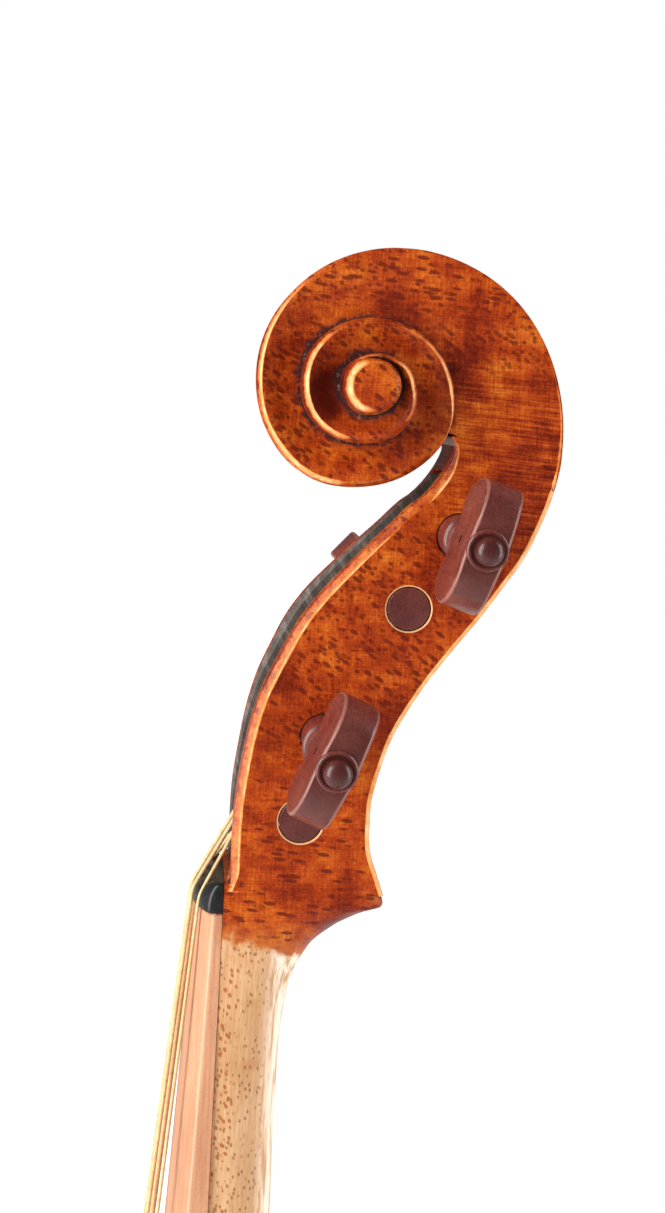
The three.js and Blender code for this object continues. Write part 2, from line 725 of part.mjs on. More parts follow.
// Least distance between two loops of a winding, less the string itself
function windingGap(string) {
  const points = windingPoints(string);
  let least = Infinity;
  for (let i = 0; i < points.length; i += 1) {
    for (let j = i + Math.round(windingSteps / 2); j < points.length; j += 1) {
      least = Math.min(least, points[i].distanceTo(points[j]));
    }
  }
  return least - string.diameter;
}

const bridgeTopY = (x) => -(bridgeHeightAtBoard - sagitta(bridgeArch, Math.abs(x)));
const tailTopZ = bridgeZ - stringAfterLength;
const tailFootZ = bodyFoot + tailpieceFootAboveEdge;
const saddleTopY = bellyPlane - saddleHeight;
const tailLineLow = saddleTopY - tailGutDiameter;
const tailLine = (z) => mix(tailLineLow, -bridgeHeightAtBoard, (z - bodyFoot) / (bridgeZ - bodyFoot));
const tailFrontY = (z) => tailLine(z) - tailpieceThickness / 2;
const tailX = (string) => tailSlotSpacing * (strings.indexOf(string) - (strings.length - 1) / 2);

// The line of each string from its knot under the tailpiece to the pegbox; it stops clear of the winding
function stringPoints(string) {
  const radius = stringRadius(string);
  const end = pointOnPeg(string, tangentAngle(string), string.windX);
  const [exit, rest] = [nutExit(string), restPoint(string)];
  const clear = windingRadius(string) + 2 * radius + seatGap;
  const back = Math.sqrt(clear * clear - windingRadius(string) ** 2);
  const length = rest.distanceTo(end);
  const [x, sunk] = [string.nutX, radius - stringSink];
  const slotZ = tailTopZ - tailSlotInset;
  const under = tailLine(slotZ - tailSlotLength) + tailpieceThickness / 2;
  const overBridge = bridgeTopY(string.bridgeX) - sunk;
  return [
    new THREE.Vector3(tailX(string), under + knotRadius, slotZ - tailSlotLength * 0.62),
    new THREE.Vector3(tailX(string), tailFrontY(slotZ) - radius - glueGap, slotZ - tailSlotLength * 0.3),
    new THREE.Vector3(tailX(string), tailFrontY(tailTopZ) - radius - glueGap, tailTopZ + glueGap),
    new THREE.Vector3(string.bridgeX, overBridge + 0.03 * nutThickness, bridgeZ - bridgeTopThickness),
    new THREE.Vector3(string.bridgeX, overBridge, bridgeZ + bridgeTopThickness),
    new THREE.Vector3(x, nutTop(x) - sunk, 0),
    new THREE.Vector3(x, nutTop(x) - sunk + nutThickness * 0.05, nutThickness * 0.4),
    exit,
    ...(rest.equals(exit) ? [] : [rest]),
    rest.clone().lerp(end, (length - back) / length),
  ];
}

function knot(string) {
  const place = stringPoints(string)[0];
  return solidOf(new THREE.SphereGeometry(knotRadius, 8, 5).translate(place.x, place.y, place.z));
}

const stringTube = (string, room) => tube(stringPoints(string), stringRadius(string) + room, stringSides);
const stringSolid = (string) => stringTube(string, 0).add(knot(string));
const stringCutter = (string) => stringTube(string, seatGap / 2);

// Nut and fingerboard

const acrossShares = [-1, -0.75, -0.5, -0.25, 0, 0.25, 0.5, 0.75, 1];

function nut() {
  const profileShares = [[0, 1], [0.35, 0.97], [0.65, 0.8], [0.88, 0.52], [1, 0.3]];
  const rings = acrossShares.map((share) => {
    const x = share * (neckHalfWidthNut - glueGap);
    const at = (along, y) => new THREE.Vector3(x, y, mix(glueGap, nutThickness, along));
    const over = profileShares.map(([along, up]) => at(along, up * nutTop(x)));
    return [at(0, -glueGap), ...over, at(1, -glueGap)];
  });
  let solid = loft(rings);
  for (const string of strings) solid = solid.subtract(stringCutter(string));
  return solid;
}

function boardCrest(z) {
  const t = -z / boardLength;
  return -(mix(boardCrestNut, boardCrestEnd, t) - 4 * boardScoop * t * (1 - t));
}

function fingerboard() {
  const stationShares = [0, 0.15, 0.35, neckLength / boardLength, 0.72, 0.86, 1];
  const rings = stationShares.map((t) => {
    const z = -t * boardLength;
    const half = mix(neckHalfWidthNut, boardHalfWidthEnd, t);
    const arch = mix(boardArchNut, boardArchEnd, t);
    const crest = boardCrest(z);
    const beyond = Math.max(-z - neckLength, 0) / (boardLength - neckLength);
    const edge = crest + sagitta(arch, half);
    const edgeUnder = mix(-glueGap, edge + boardEdgeEnd, beyond);
    const hollow = mix(-glueGap, crest + boardShell, Math.min(beyond * 1.6, 1));
    const top = acrossShares.map((share) => [share * half, crest + sagitta(arch, Math.abs(share) * half)]);
    const under = [[half, edgeUnder], [0.8 * half, edgeUnder], [0.4 * half, mix(edgeUnder, hollow, 0.85)]];
    const underLeft = under.map(([x, y]) => [-x, y]).reverse();
    return [...top, ...under, ...underLeft].map(([x, y]) => new THREE.Vector3(x, Math.max(y, crest), z));
  });
  return loft(rings);
}

// Body outline

// Bezier stretches of the treble half, from the top to the bottom: two ends and the two control points that
// lie between them, as shares of a half width and of the body's length
const upper = upperHalfWidth;
const waist = waistHalfWidth;
const lower = lowerHalfWidth;
const outlineShares = [
  { half: upper, steps: 8, curve: [[0, 0], [0.56, 0], [1, 0.072], [1, 0.192]] },
  { half: upper, steps: 5, curve: [[1, 0.192], [1, 0.255], [0.83, 0.277], [0.835, 0.312]] },
  { half: upper, steps: 4, curve: [[0.835, 0.312], [0.838, 0.326], [0.872, 0.34], [0.925, 0.3445]] },
  { half: waist, steps: 5, curve: [[1.325, 0.361], [1.14, 0.357], [1, 0.395], [1, 0.459]] },
  { half: waist, steps: 6, curve: [[1, 0.459], [1, 0.531], [1.2, 0.594], [1.59, 0.6]] },
  { half: lower, steps: 4, curve: [[0.897, 0.617], [0.846, 0.624], [0.833, 0.634], [0.838, 0.65]] },
  { half: lower, steps: 6, curve: [[0.838, 0.65], [0.85, 0.685], [1, 0.716], [1, 0.8]] },
  { half: lower, steps: 9, curve: [[1, 0.8], [1, 0.918], [0.567, 1], [0, 1]] },
];

function halfOutline() {
  const points = [];
  for (const { half, steps, curve } of outlineShares) {
    const at = ([x, z]) => new THREE.Vector2(x * half, bodyTop - z * bodyLength);
    for (const point of new THREE.CubicBezierCurve(...curve.map(at)).getPoints(steps)) {
      const last = points[points.length - 1];
      if (!last || last.distanceTo(point) > glueGap) points.push(point);
    }
  }
  return points;
}

const treble = halfOutline();
const bassSide = treble.slice(1, -1).map((p) => new THREE.Vector2(-p.x, p.y)).reverse();
const bodyOutline = [...treble, ...bassSide];

// The distance from a point to the body's edge: above zero inside, zero outside
function insideDistance(x, z) {
  let least = Infinity;
  let inside = false;
  for (let i = 0; i < bodyOutline.length; i += 1) {
    const [a, b] = [bodyOutline[i], bodyOutline[(i + 1) % bodyOutline.length]];
    const [dx, dz] = [b.x - a.x, b.y - a.y];
    const t = clamp(((x - a.x) * dx + (z - a.y) * dz) / (dx * dx + dz * dz), 0, 1);
    least = Math.min(least, Math.hypot(x - a.x - t * dx, z - a.y - t * dz));
    if (a.y > z !== b.y > z && x < a.x + ((z - a.y) * dx) / dz) inside = !inside;
  }
  return inside ? least : 0;
}

// An outline without the points that its neighbours already give
function thinned(outline) {
  const kept = [outline[0]];
  let waiting = [];
  for (let i = 1; i < outline.length; i += 1) {
    const [start, next] = [kept[kept.length - 1], outline[i]];
    const [dx, dz] = [next[0] - start[0], next[1] - start[1]];
    const length = Math.hypot(dx, dz);
    const off = waiting.map(([x, z]) => Math.abs((x - start[0]) * dz - (z - start[1]) * dx) / length);
    if (Math.max(0, ...off) > outlineTolerance) {
      kept.push(outline[i - 1]);
      waiting = [];
    }
    waiting.push(next);
  }
  return [...kept, outline[outline.length - 1]];
}

// The outline moved inward, without the stretches that cross over at the corners
function insetOutline(distance) {
  const count = bodyOutline.length;
  const moved = [];
  for (let i = 0; i < count; i += 1) {
    const [a, b] = [bodyOutline[i], bodyOutline[(i + 1) % count]];
    const [dx, dz] = [b.x - a.x, b.y - a.y];
    const length = Math.hypot(dx, dz);
    for (const t of [0.1, 0.5, 0.9]) {
      const [x, z] = [a.x + t * dx + (dz / length) * distance, a.y + t * dz - (dx / length) * distance];
      if (insideDistance(x, z) > distance * 0.995) moved.push([x, z]);
    }
  }
  return thinned(moved);
}

const outlinePairs = bodyOutline.map((p) => [p.x, p.y]);
const insetSolid = (distance, nearY, farY) => prismXZ(insetOutline(distance), nearY, farY);

// Plates

// How far out from the glue plane each plate's outer face lies; it rises over a share of the half width
const riseShares = [[0, 0.9], [0.19, 0.88], [0.46, 0.62], [0.8, 1.08], [1, 1.06]];
const riseWidths = riseShares.map(([at, share]) => [at * bodyLength, share * upperHalfWidth]);

function plateHeight(x, z, arch) {
  const inside = insideDistance(x, z);
  const fluted = edgeThickness - fluteDrop * smoothstep(inside, 0, fluteInset);
  const width = smoothAt(riseWidths, bodyTop - z);
  const rise = smoothstep(inside, fluteInset, width);
  return mix(fluted, arch, rise);
}

const gridColumns = 16;
const gridRows = 26;
const gridLow = new THREE.Vector2(-lowerHalfWidth - overrun, bodyFoot - overrun);
const gridHigh = new THREE.Vector2(lowerHalfWidth + overrun, bodyTop + overrun);

const gridX = (i) => mix(gridLow.x, gridHigh.x, i / gridColumns);
const gridZ = (j) => mix(gridLow.y, gridHigh.y, j / gridRows);

// A grid of values, one for each crossing of its rows and columns
const gridOf = (valueAt) => range(gridRows + 1).map((j) => range(gridColumns + 1).map((i) => valueAt(i, j)));
const heightGrid = (arch) => gridOf((i, j) => plateHeight(gridX(i), gridZ(j), arch));

const bellyGrid = heightGrid(bellyArch);
const backGrid = heightGrid(backArch);

// The inner face: one plate's thickness under the outer one, and sunk under the glue plane along the border
function innerHeight(outer, x, z) {
  return insideDistance(x, z) < glueBorder ? -overrun : Math.max(outer - plateThickness, -overrun);
}

const innerGrid = (grid) => gridOf((i, j) => innerHeight(grid[j][i], gridX(i), gridZ(j)));
const bellyInner = innerGrid(bellyGrid);
const backInner = innerGrid(backGrid);

// Reads a grid as its triangles do
function gridHeight(grid, x, z) {
  const u = clamp(((x - gridLow.x) / (gridHigh.x - gridLow.x)) * gridColumns, 0, gridColumns - 1e-6);
  const v = clamp(((z - gridLow.y) / (gridHigh.y - gridLow.y)) * gridRows, 0, gridRows - 1e-6);
  const [i, j] = [Math.floor(u), Math.floor(v)];
  const [s, t] = [u - i, v - j];
  const [a, b, c, d] = [grid[j][i], grid[j][i + 1], grid[j + 1][i + 1], grid[j + 1][i]];
  return s > t ? a + (b - a) * s + (c - b) * t : a + (c - d) * s + (d - a) * t;
}

// The space between a flat plane and a grid of heights, which runs outward from the plane
function gridSolid(grid, plane, outward, floor) {
  const points = [];
  const faces = [];
  const columns = gridColumns + 1;
  const total = columns * (gridRows + 1);
  for (const flat of [false, true]) {
    for (let j = 0; j <= gridRows; j += 1) {
      for (let i = 0; i <= gridColumns; i += 1) {
        points.push(new THREE.Vector3(gridX(i), plane + outward * (flat ? floor : grid[j][i]), gridZ(j)));
      }
    }
  }
  for (let j = 0; j < gridRows; j += 1) {
    for (let i = 0; i < gridColumns; i += 1) {
      const [a, d] = [j * columns + i, (j + 1) * columns + i];
      const [b, c] = [a + 1, d + 1];
      faces.push(a, b, c, a, c, d);
      faces.push(total + a, total + c, total + b, total + a, total + d, total + c);
    }
  }
  const border = [
    ...range(gridColumns).map((i) => i),
    ...range(gridRows).map((j) => j * columns + gridColumns),
    ...range(gridColumns).map((i) => gridRows * columns + gridColumns - i),
    ...range(gridRows).map((j) => (gridRows - j) * columns),
  ];
  border.forEach((a, i) => {
    const b = border[(i + 1) % border.length];
    faces.push(a, total + a, b, b, total + a, total + b);
  });
  const geometry = new THREE.BufferGeometry().setFromPoints(points);
  geometry.setIndex(faces);
  return solidOf(geometry);
}

function plate(outerGrid, hollowGrid, plane, outward) {
  const reach = [plane, plane + outward * (bellyArch + backArch)].sort((a, b) => a - b);
  const blank = gridSolid(outerGrid, plane, outward, 0).intersect(prismXZ(outlinePairs, ...reach));
  return blank.subtract(gridSolid(hollowGrid, plane, outward, -2 * overrun));
}

// Sound hole: two eyes joined by a stem, for the treble side, as shares of the half width and stop length
const holeUpperShares = [0.235, 0.842];
const holeLowerShares = [0.45, 1.135];
const holeStemShares = [
  [0.245, 0.806, 0.25], [0.29, 0.792, 0.5], [0.325, 0.812, 0.9], [0.338, 0.87, 1], [0.345, 0.965, 1.05],
  [0.352, 1.06, 1], [0.367, 1.128, 0.9], [0.402, 1.171, 0.5], [0.447, 1.168, 0.25],
];

function soundHole(side) {
  const place = ([xShare, zShare]) => [side * xShare * lowerHalfWidth, bodyTop - zShare * stopLength];
  const reach = [bellyPlane - bellyArch - overrun, bellyPlane + overrun];
  const circle = ([x, z], radius) =>
    prismXZ(range(16).map((i) => {
      const angle = (2 * Math.PI * i) / 16;
      return [x + radius * Math.cos(angle), z + radius * Math.sin(angle)];
    }), ...reach);
  const line = holeStemShares.map((share) => new THREE.Vector2(...place(share)));
  const edge = (offset) => line.map((p, i) => {
    const along = line[Math.min(i + 1, line.length - 1)].clone().sub(line[Math.max(i - 1, 0)]).normalize();
    const half = (offset * holeStemShares[i][2] * holeStemWidth) / 2;
    return [p.x - along.y * half, p.y + along.x * half];
  });
  const stem = prismXZ([...edge(1), ...edge(-1).reverse()], ...reach);
  const upperEye = circle(place(holeUpperShares), holeUpperRadius);
  const lowerEye = circle(place(holeLowerShares), holeLowerRadius);
  return union([upperEye, lowerEye, stem]);
}

// One side of a solid, a glue gap away from the middle
function sideOf(solid, side) {
  return solid.trimByPlane([side, 0, 0], glueGap / 2);
}

function belly() {
  const neckNotch = box(
    [-neckHalfWidthBody - seatGap, bellyPlane - edgeThickness - overrun, ribTop],
    [neckHalfWidthBody + seatGap, bellyPlane + overrun, bodyTop + overrun],
  );
  const saddleNotch = box(
    [-saddleHalfWidth - glueGap, bellyPlane - edgeThickness - overrun, bodyFoot - overrun],
    [saddleHalfWidth + glueGap, bellyPlane + overrun, bodyFoot + saddleDepth + glueGap],
  );
  let solid = plate(bellyGrid, bellyInner, bellyPlane, -1).subtract(neckNotch).subtract(saddleNotch);
  for (const side of [-1, 1]) solid = solid.subtract(soundHole(side));
  return solid.simplify(meshTolerance);
}

function back() {
  const disc = prismXZ(
    range(25).map((i) => {
      const angle = (Math.PI * i) / 24;
      return [buttonRadius * Math.cos(angle), bodyTop - overrun + buttonRadius * Math.sin(angle)];
    }),
    backPlane,
    backPlane + edgeThickness,
  );
  return plate(backGrid, backInner, backPlane, 1).add(disc).simplify(meshTolerance);
}

// Ribs, blocks and linings

const ribOuter = edgeOverhang;
const ribInner = edgeOverhang + ribThickness;
const blockOuter = ribInner + glueGap;
const ringY = [bellyPlane + glueGap, backPlane - glueGap];
const upperCorner = new THREE.Vector2(upperHalfWidth * 0.925, bodyTop - bodyLength * 0.3445);
const lowerCorner = new THREE.Vector2(lowerHalfWidth * 0.897, bodyTop - bodyLength * 0.617);

// A thin cut that parts two ribs at a corner, level with the corner of the space inside them
function cornerCut(corner, side) {
  const away = ([x, z]) => Math.hypot(x - corner.x, z - corner.y);
  const [tipX, tipZ] = insetOutline(ribInner).reduce((best, p) => (away(p) < away(best) ? p : best));
  const xs = [side * (tipX - overrun), side * (corner.x + overrun)].sort((a, b) => a - b);
  return box([xs[0], bellyPlane, tipZ - glueGap], [xs[1], backPlane, tipZ + glueGap]);
}

// A rib or lining's place in words, from the middle of its box
function placeName(solid) {
  const bounds = solid.boundingBox();
  const [x, z] = [(bounds.min[0] + bounds.max[0]) / 2, (bounds.min[2] + bounds.max[2]) / 2];
  const share = (bodyTop - z) / bodyLength;
  const bout = share < 0.3 ? "upper" : share < 0.62 ? "waist" : "lower";
  return `${bout}_${x > 0 ? "treble" : "bass"}`;
}

function byPlace(solid) {
  return Object.fromEntries(solid.decompose().map((piece) => [placeName(piece), piece]));
}

function ribs() {
  let ring = insetSolid(ribOuter, ...ringY).subtract(insetSolid(ribInner, bellyPlane, backPlane));
  for (const corner of [upperCorner, lowerCorner]) {
    for (const side of [-1, 1]) ring = ring.subtract(cornerCut(corner, side));
  }
  ring = ring.subtract(box([-glueGap, bellyPlane, bodyFoot], [glueGap, backPlane, bodyTop]));
  const hole = buttonShaftRadius + seatGap;
  ring = ring.subtract(barZ(0, ribMiddle, bodyFoot, hole, bodyFoot + topBlockDepth, hole, 12));
  for (const y of nailPlaces()) {
    const radius = nailRadius + seatGap;
    ring = ring.subtract(barZ(0, y, ribTop - topBlockDepth, radius, bodyTop, radius, 8));
  }
  return byPlace(ring);
}

// How far a corner block reaches above and below its corner, as shares of its sizes
const cornerReachShares = { upper: { above: 1, below: 0.75 }, lower: { above: 0.75, below: 1 } };

function cornerBox(where, corner, side) {
  const share = cornerReachShares[where];
  const xs = [side * (corner.x - cornerBlockWidth), side * (corner.x + overrun)].sort((a, b) => a - b);
  return {
    name: `corner_block_${where}_${side > 0 ? "treble" : "bass"}`,
    low: [xs[0], corner.y - share.below * cornerBlockBelow],
    high: [xs[1], corner.y + share.above * cornerBlockAbove],
  };
}

// The boxes that the blocks fill, each a name with low and high corners in x and z
function blockBoxes() {
  const [topHalf, bottomHalf] = [topBlockHalfWidth, bottomBlockHalfWidth];
  return [
    { name: "top_block", low: [-topHalf, ribTop - topBlockDepth], high: [topHalf, bodyTop] },
    { name: "bottom_block", low: [-bottomHalf, bodyFoot], high: [bottomHalf, ribFoot + bottomBlockDepth] },
    ...[-1, 1].map((side) => cornerBox("upper", upperCorner, side)),
    ...[-1, 1].map((side) => cornerBox("lower", lowerCorner, side)),
  ];
}

function blocks() {
  const inside = insetSolid(blockOuter, ...ringY);
  const made = {};
  for (const { name, low, high } of blockBoxes()) {
    let solid = inside.intersect(box([low[0], bellyPlane, low[1]], [high[0], backPlane, high[1]]));
    if (name === "top_block") {
      for (const y of nailPlaces()) {
        const radius = nailRadius + seatGap;
        solid = solid.subtract(barZ(0, y, ribTop - topBlockDepth - overrun, radius, bodyTop, radius, 8));
      }
    }
    if (name === "bottom_block") {
      const hole = buttonShaftRadius + seatGap;
      solid = solid.subtract(barZ(0, ribMiddle, bodyFoot, hole, bodyFoot + topBlockDepth * 2, hole, 12));
    }
    made[name] = solid;
  }
  return made;
}

function linings(nearY, farY) {
  let ring = insetSolid(blockOuter, nearY, farY);
  ring = ring.subtract(insetSolid(blockOuter + liningWidth, bellyPlane, backPlane));
  for (const { low, high } of blockBoxes()) {
    const [lowX, lowZ] = low.map((v) => v - seatGap);
    const [highX, highZ] = high.map((v) => v + seatGap);
    ring = ring.subtract(box([lowX, bellyPlane, lowZ], [highX, backPlane, highZ]));
  }
  return byPlace(ring);
}

// Bass bar and sound post, both fitted to the plates

function bassBar() {
  const stationShares = range(9).map((i) => i / 8);
  const rings = stationShares.map((share) => {
    const z = mix(bodyTop - bassBarTopRoom, bodyFoot + bassBarFootRoom, share);
    const high = mix(bassBarEndHeight, bassBarHeight, Math.sin(Math.PI * share) ** 0.8);
    const sides = [-bassBarInset - bassBarThickness / 2, -bassBarInset + bassBarThickness / 2];
    const seat = bellyPlane - gridHeight(bellyInner, -bassBarInset, z);
    const [near, far] = [seat - plateThickness, seat + high];
    const at = (x, y) => new THREE.Vector3(x, y, z);
    return [at(sides[0], near), at(sides[1], near), at(sides[1], far), at(sides[0], far)];
  });
  return mainBody(loft(rings).intersect(gridSolid(bellyInner, bellyPlane + seatGap, -1, -ribHeight)));
}

function soundPost() {
  const [x, z] = [postInset, bridgeZ - postBehindBridge];
  const ring = (yAt) => range(12).map((i) => {
    const angle = (2 * Math.PI * i) / 12;
    const [px, pz] = [x + postRadius * Math.cos(angle), z + postRadius * Math.sin(angle)];
    return new THREE.Vector3(px, yAt(px, pz), pz);
  });
  const belowBelly = ring((px, pz) => bellyPlane - gridHeight(bellyInner, px, pz) + seatGap);
  const overBack = ring((px, pz) => backPlane + gridHeight(backInner, px, pz) - seatGap);
  return loft([belowBelly, overBack]);
}

// Bridge: half outline as shares of its half width and of its height at the middle, then its cut-outs
const bridgeOutlineShares = [
  [0.8, 0.955], [0.86, 0.88], [0.83, 0.78], [0.66, 0.68], [0.67, 0.58], [0.8, 0.5], [0.79, 0.4],
  [0.74, 0.27], [0.8, 0.17], [1, 0.1], [1, 0],
];
const bridgeArchShares = [[0.49, 0], [0.47, 0.1], [0.4, 0.2], [0.22, 0.29], [0, 0.31]];
const bridgeHeartShares = [[0, 0.44], [0.12, 0.52], [0.17, 0.62], [0.1, 0.68], [0, 0.64]];
const bridgeEyeShares = [[0.3, 0.42], [0.5, 0.36], [0.56, 0.44], [0.44, 0.52], [0.32, 0.5]];

function bridge() {
  const footY = (x) => bellyPlane - gridHeight(bellyGrid, x, bridgeZ) - seatGap;
  const high = bridgeHeightAtBoard + footY(0);
  const at = ([xShare, upShare]) => new THREE.Vector2(xShare * bridgeHalfWidth, upShare * high);
  const crestShares = [-0.8, -0.6, -0.4, -0.2, 0, 0.2, 0.4, 0.6, 0.8];
  const crest = crestShares.map((share) => {
    const x = share * bridgeHalfWidth;
    return new THREE.Vector2(x, high - sagitta(bridgeArch, Math.abs(x)));
  });
  const right = bridgeOutlineShares.slice(1).map(at);
  const arch = bridgeArchShares.map(at);
  const flip = (points) => points.map((p) => new THREE.Vector2(-p.x, p.y)).reverse();
  const outline = [...crest, ...right, ...arch, ...flip(arch).slice(1), ...flip(right)];
  const shape = new THREE.Shape(outline);
  const heart = bridgeHeartShares.map(at);
  shape.holes.push(new THREE.Path([...heart, ...flip(heart).slice(1, -1)]));
  const eyeHole = bridgeEyeShares.map(at);
  shape.holes.push(new THREE.Path(eyeHole), new THREE.Path(flip(eyeHole)));
  const geometry = new THREE.ExtrudeGeometry(shape, { depth: 1, bevelEnabled: false, curveSegments: 1 });
  const places = geometry.attributes.position;
  for (let i = 0; i < places.count; i += 1) {
    const [x, up, across] = [places.getX(i), places.getY(i), places.getZ(i)];
    const thickness = mix(bridgeFootThickness, bridgeTopThickness, clamp(up / high, 0, 1));
    const foot = clamp(1 - up / (high * 0.1), 0, 1);
    const y = -up + mix(footY(0), footY(x), foot);
    places.setXYZ(i, x, y, bridgeZ - bridgeFootThickness / 2 + across * thickness);
  }
  let solid = solidOf(geometry);
  solid = solid.subtract(gridSolid(bellyGrid, bellyPlane - seatGap, -1, 0));
  for (const string of strings) solid = solid.subtract(stringCutter(string));
  return solid;
}

// Tailpiece, tail gut, saddle and end button

function tailpiece() {
  const stations = [0, 0.03, 0.25, 0.5, 0.75, 0.97, 1];
  const rings = stations.map((t) => {
    const z = mix(tailTopZ, tailFootZ, t);
    const narrowed = t === 0 || t === 1 ? overrun : 0;
    const half = mix(tailpieceHalfWidthTop, tailpieceHalfWidthFoot, t ** 0.8) - narrowed;
    const front = tailFrontY(z);
    const under = front + tailpieceThickness;
    const edge = mix(front, under, 0.45);
    const top = [[-half, edge], [-0.6 * half, front], [0.6 * half, front], [half, edge]];
    return [...top, [half, under], [-half, under]].map(([x, y]) => new THREE.Vector3(x, y, z));
  });
  let solid = loft(rings);
  for (const string of strings) {
    const [lowZ, highZ] = [tailTopZ - tailSlotInset - tailSlotLength, tailTopZ - tailSlotInset];
    const half = knotRadius + seatGap;
    const [near, far] = [tailFrontY(highZ) - 3 * overrun, tailFrontY(lowZ) + 2 * tailpieceThickness];
    solid = solid.subtract(box([tailX(string) - half, near, lowZ], [tailX(string) + half, far, highZ]));
    solid = solid.subtract(stringCutter(string));
  }
  for (const side of [-1, 1]) {
    const points = [tailFootZ + tailGutSocket + overrun, tailFootZ - overrun].map(
      (z) => new THREE.Vector3(side * tailGutSpread, tailLine(z), z),
    );
    solid = solid.subtract(tube(points, tailGutDiameter / 2 + seatGap, 8));
  }
  return solid;
}

function tailGutPoints() {
  const radius = tailGutDiameter / 2;
  const loopZ = ribFoot - buttonGroove * 0.55;
  const loopRadius = buttonNeckRadius + radius + seatGap;
  const side = [
    new THREE.Vector3(tailGutSpread, tailLine(tailFootZ + tailGutSocket), tailFootZ + tailGutSocket),
    new THREE.Vector3(tailGutSpread, tailLine(tailFootZ), tailFootZ),
    new THREE.Vector3(tailGutSpread, saddleTopY - radius - seatGap, bodyFoot + saddleDepth * 0.6),
    new THREE.Vector3(tailGutSpread, saddleTopY - radius * 0.4, bodyFoot - radius * 1.2),
    new THREE.Vector3(tailGutSpread, saddleTopY + 2 * radius, bodyFoot - radius - seatGap - glueGap),
    new THREE.Vector3(tailGutSpread + glueGap, bellyPlane + radius, bodyFoot - radius - seatGap - glueGap),
    new THREE.Vector3(loopRadius, mix(bellyPlane, ribMiddle, 0.55), loopZ),
  ];
  const loop = range(9).map((i) => {
    const angle = (Math.PI * i) / 8;
    return new THREE.Vector3(loopRadius * Math.cos(angle), ribMiddle + loopRadius * Math.sin(angle), loopZ);
  });
  const mirrored = side.map((p) => new THREE.Vector3(-p.x, p.y, p.z)).reverse();
  return [...side, ...loop, ...mirrored];
}

// A tube whose sections keep the direction of the one before, for a line that turns in every plane
function bentTube(points, radius, sides) {
  let out = new THREE.Vector3(1, 0, 0);
  const rings = points.map((p, i) => {
    const along = directionAt(points, i);
    out = squareTo(out, along);
    return ringAt(p, along, out, radius, sides, 0);
  });
  return loft(rings);
}

function saddle() {
  const [low, high] = [bodyFoot, bodyFoot + saddleDepth];
  const profileShares = [[0, 0.55], [0.12, 0.85], [0.4, 1], [0.75, 0.95], [1, 0.62]];
  const near = bellyPlane - glueGap;
  const top = ([along, up]) => [bellyPlane - up * saddleHeight, mix(low, high, along)];
  return prismYZ([[near, low], ...profileShares.map(top), [near, high]], -saddleHalfWidth, saddleHalfWidth);
}

function endButton() {
  const grooveFoot = ribFoot - glueGap - buttonGroove;
  const shaftEnd = ribFoot + buttonShaftLength;
  const seat = ribFoot - glueGap;
  const profile = [
    [0, shaftEnd], [buttonShaftRadius * 0.85, shaftEnd],
    [buttonShaftRadius, seat], [buttonNeckRadius, seat - 0.1 * buttonGroove],
    [buttonNeckRadius, grooveFoot],
    [buttonRimRadius, grooveFoot - 0.12 * buttonKnob],
    [buttonRimRadius, grooveFoot - 0.45 * buttonKnob],
    [0.8 * buttonRimRadius, grooveFoot - 0.8 * buttonKnob],
    [0.5 * buttonRimRadius, grooveFoot - buttonKnob], [0, grooveFoot - buttonKnob],
  ];
  const lathe = new THREE.LatheGeometry(profile.map(([r, z]) => new THREE.Vector2(r, z)).reverse(), 16);
  return solidOf(lathe.rotateX(Math.PI / 2).translate(0, ribMiddle, 0));
}

function nail(y) {
  const inside = ribTop - blockOuter + edgeOverhang - topBlockDepth;
  const neck = ribTop - topBlockDepth - seatGap;
  const headTop = Math.min(neck, inside) - nailHeadThickness;
  const tip = nailTip(y);
  const shank = barZ(0, y, neck - nailHeadThickness / 2, nailRadius, tip, nailRadius * 0.5, 6);
  return shank.add(barZ(0, y, headTop, nailHeadRadius, neck, nailHeadRadius, 10));
}

// The instrument, each piece with its own material

const finishes = {
  varnish: { color: 0xa9581c, roughness: 0.38 },
  spruce: { color: 0xb5702a, roughness: 0.4 },
  bareWood: { color: 0xd9b98c, roughness: 0.6 },
  boardWood: { color: 0xd2ad92, roughness: 0.5 },
  black: { color: 0x17171a, roughness: 0.35 },
  pegWood: { color: 0x6e3230, roughness: 0.5 },
  gut: { color: 0xcda45c, roughness: 0.4 },
  bridgeWood: { color: 0xc79a63, roughness: 0.55 },
  iron: { color: 0x4a4a4c, roughness: 0.6, metalness: 0.9 },
};

const viola = new THREE.Group();
viola.name = "baroque_viola";
const instrument = new THREE.Group();
instrument.position.set(0, -throatFront, -throatHeight);
viola.add(instrument);

function place(name, solid, finish, parent = instrument) {
  const material = new THREE.MeshStandardMaterial({ metalness: 0, ...finishes[finish] });
  const mesh = new THREE.Mesh(geometryOf(solid), material);
  mesh.name = name;
  parent.add(mesh);
}

place("neck_and_scroll", neckAndScroll(), "varnish");
place("nut", nut(), "black");
place("fingerboard", fingerboard(), "boardWood");

for (const peg of pegs) {
  const turned = new THREE.Group();
  turned.position.set(0, peg.y, peg.z);
  turned.rotation.x = -THREE.MathUtils.degToRad(peg.lean);
  instrument.add(turned);
  place(`peg_${peg.string}`, pegSolid(peg), "pegWood", turned);
}
for (const string of strings) {
  place(`winding_${string.name}`, tube(windingPoints(string), stringRadius(string), windingSides), "gut");
  place(`string_${string.name}`, stringSolid(string), "gut");
  console.log(`winding_${string.name}: least gap between its loops ${windingGap(string).toFixed(2)} mm`);
}

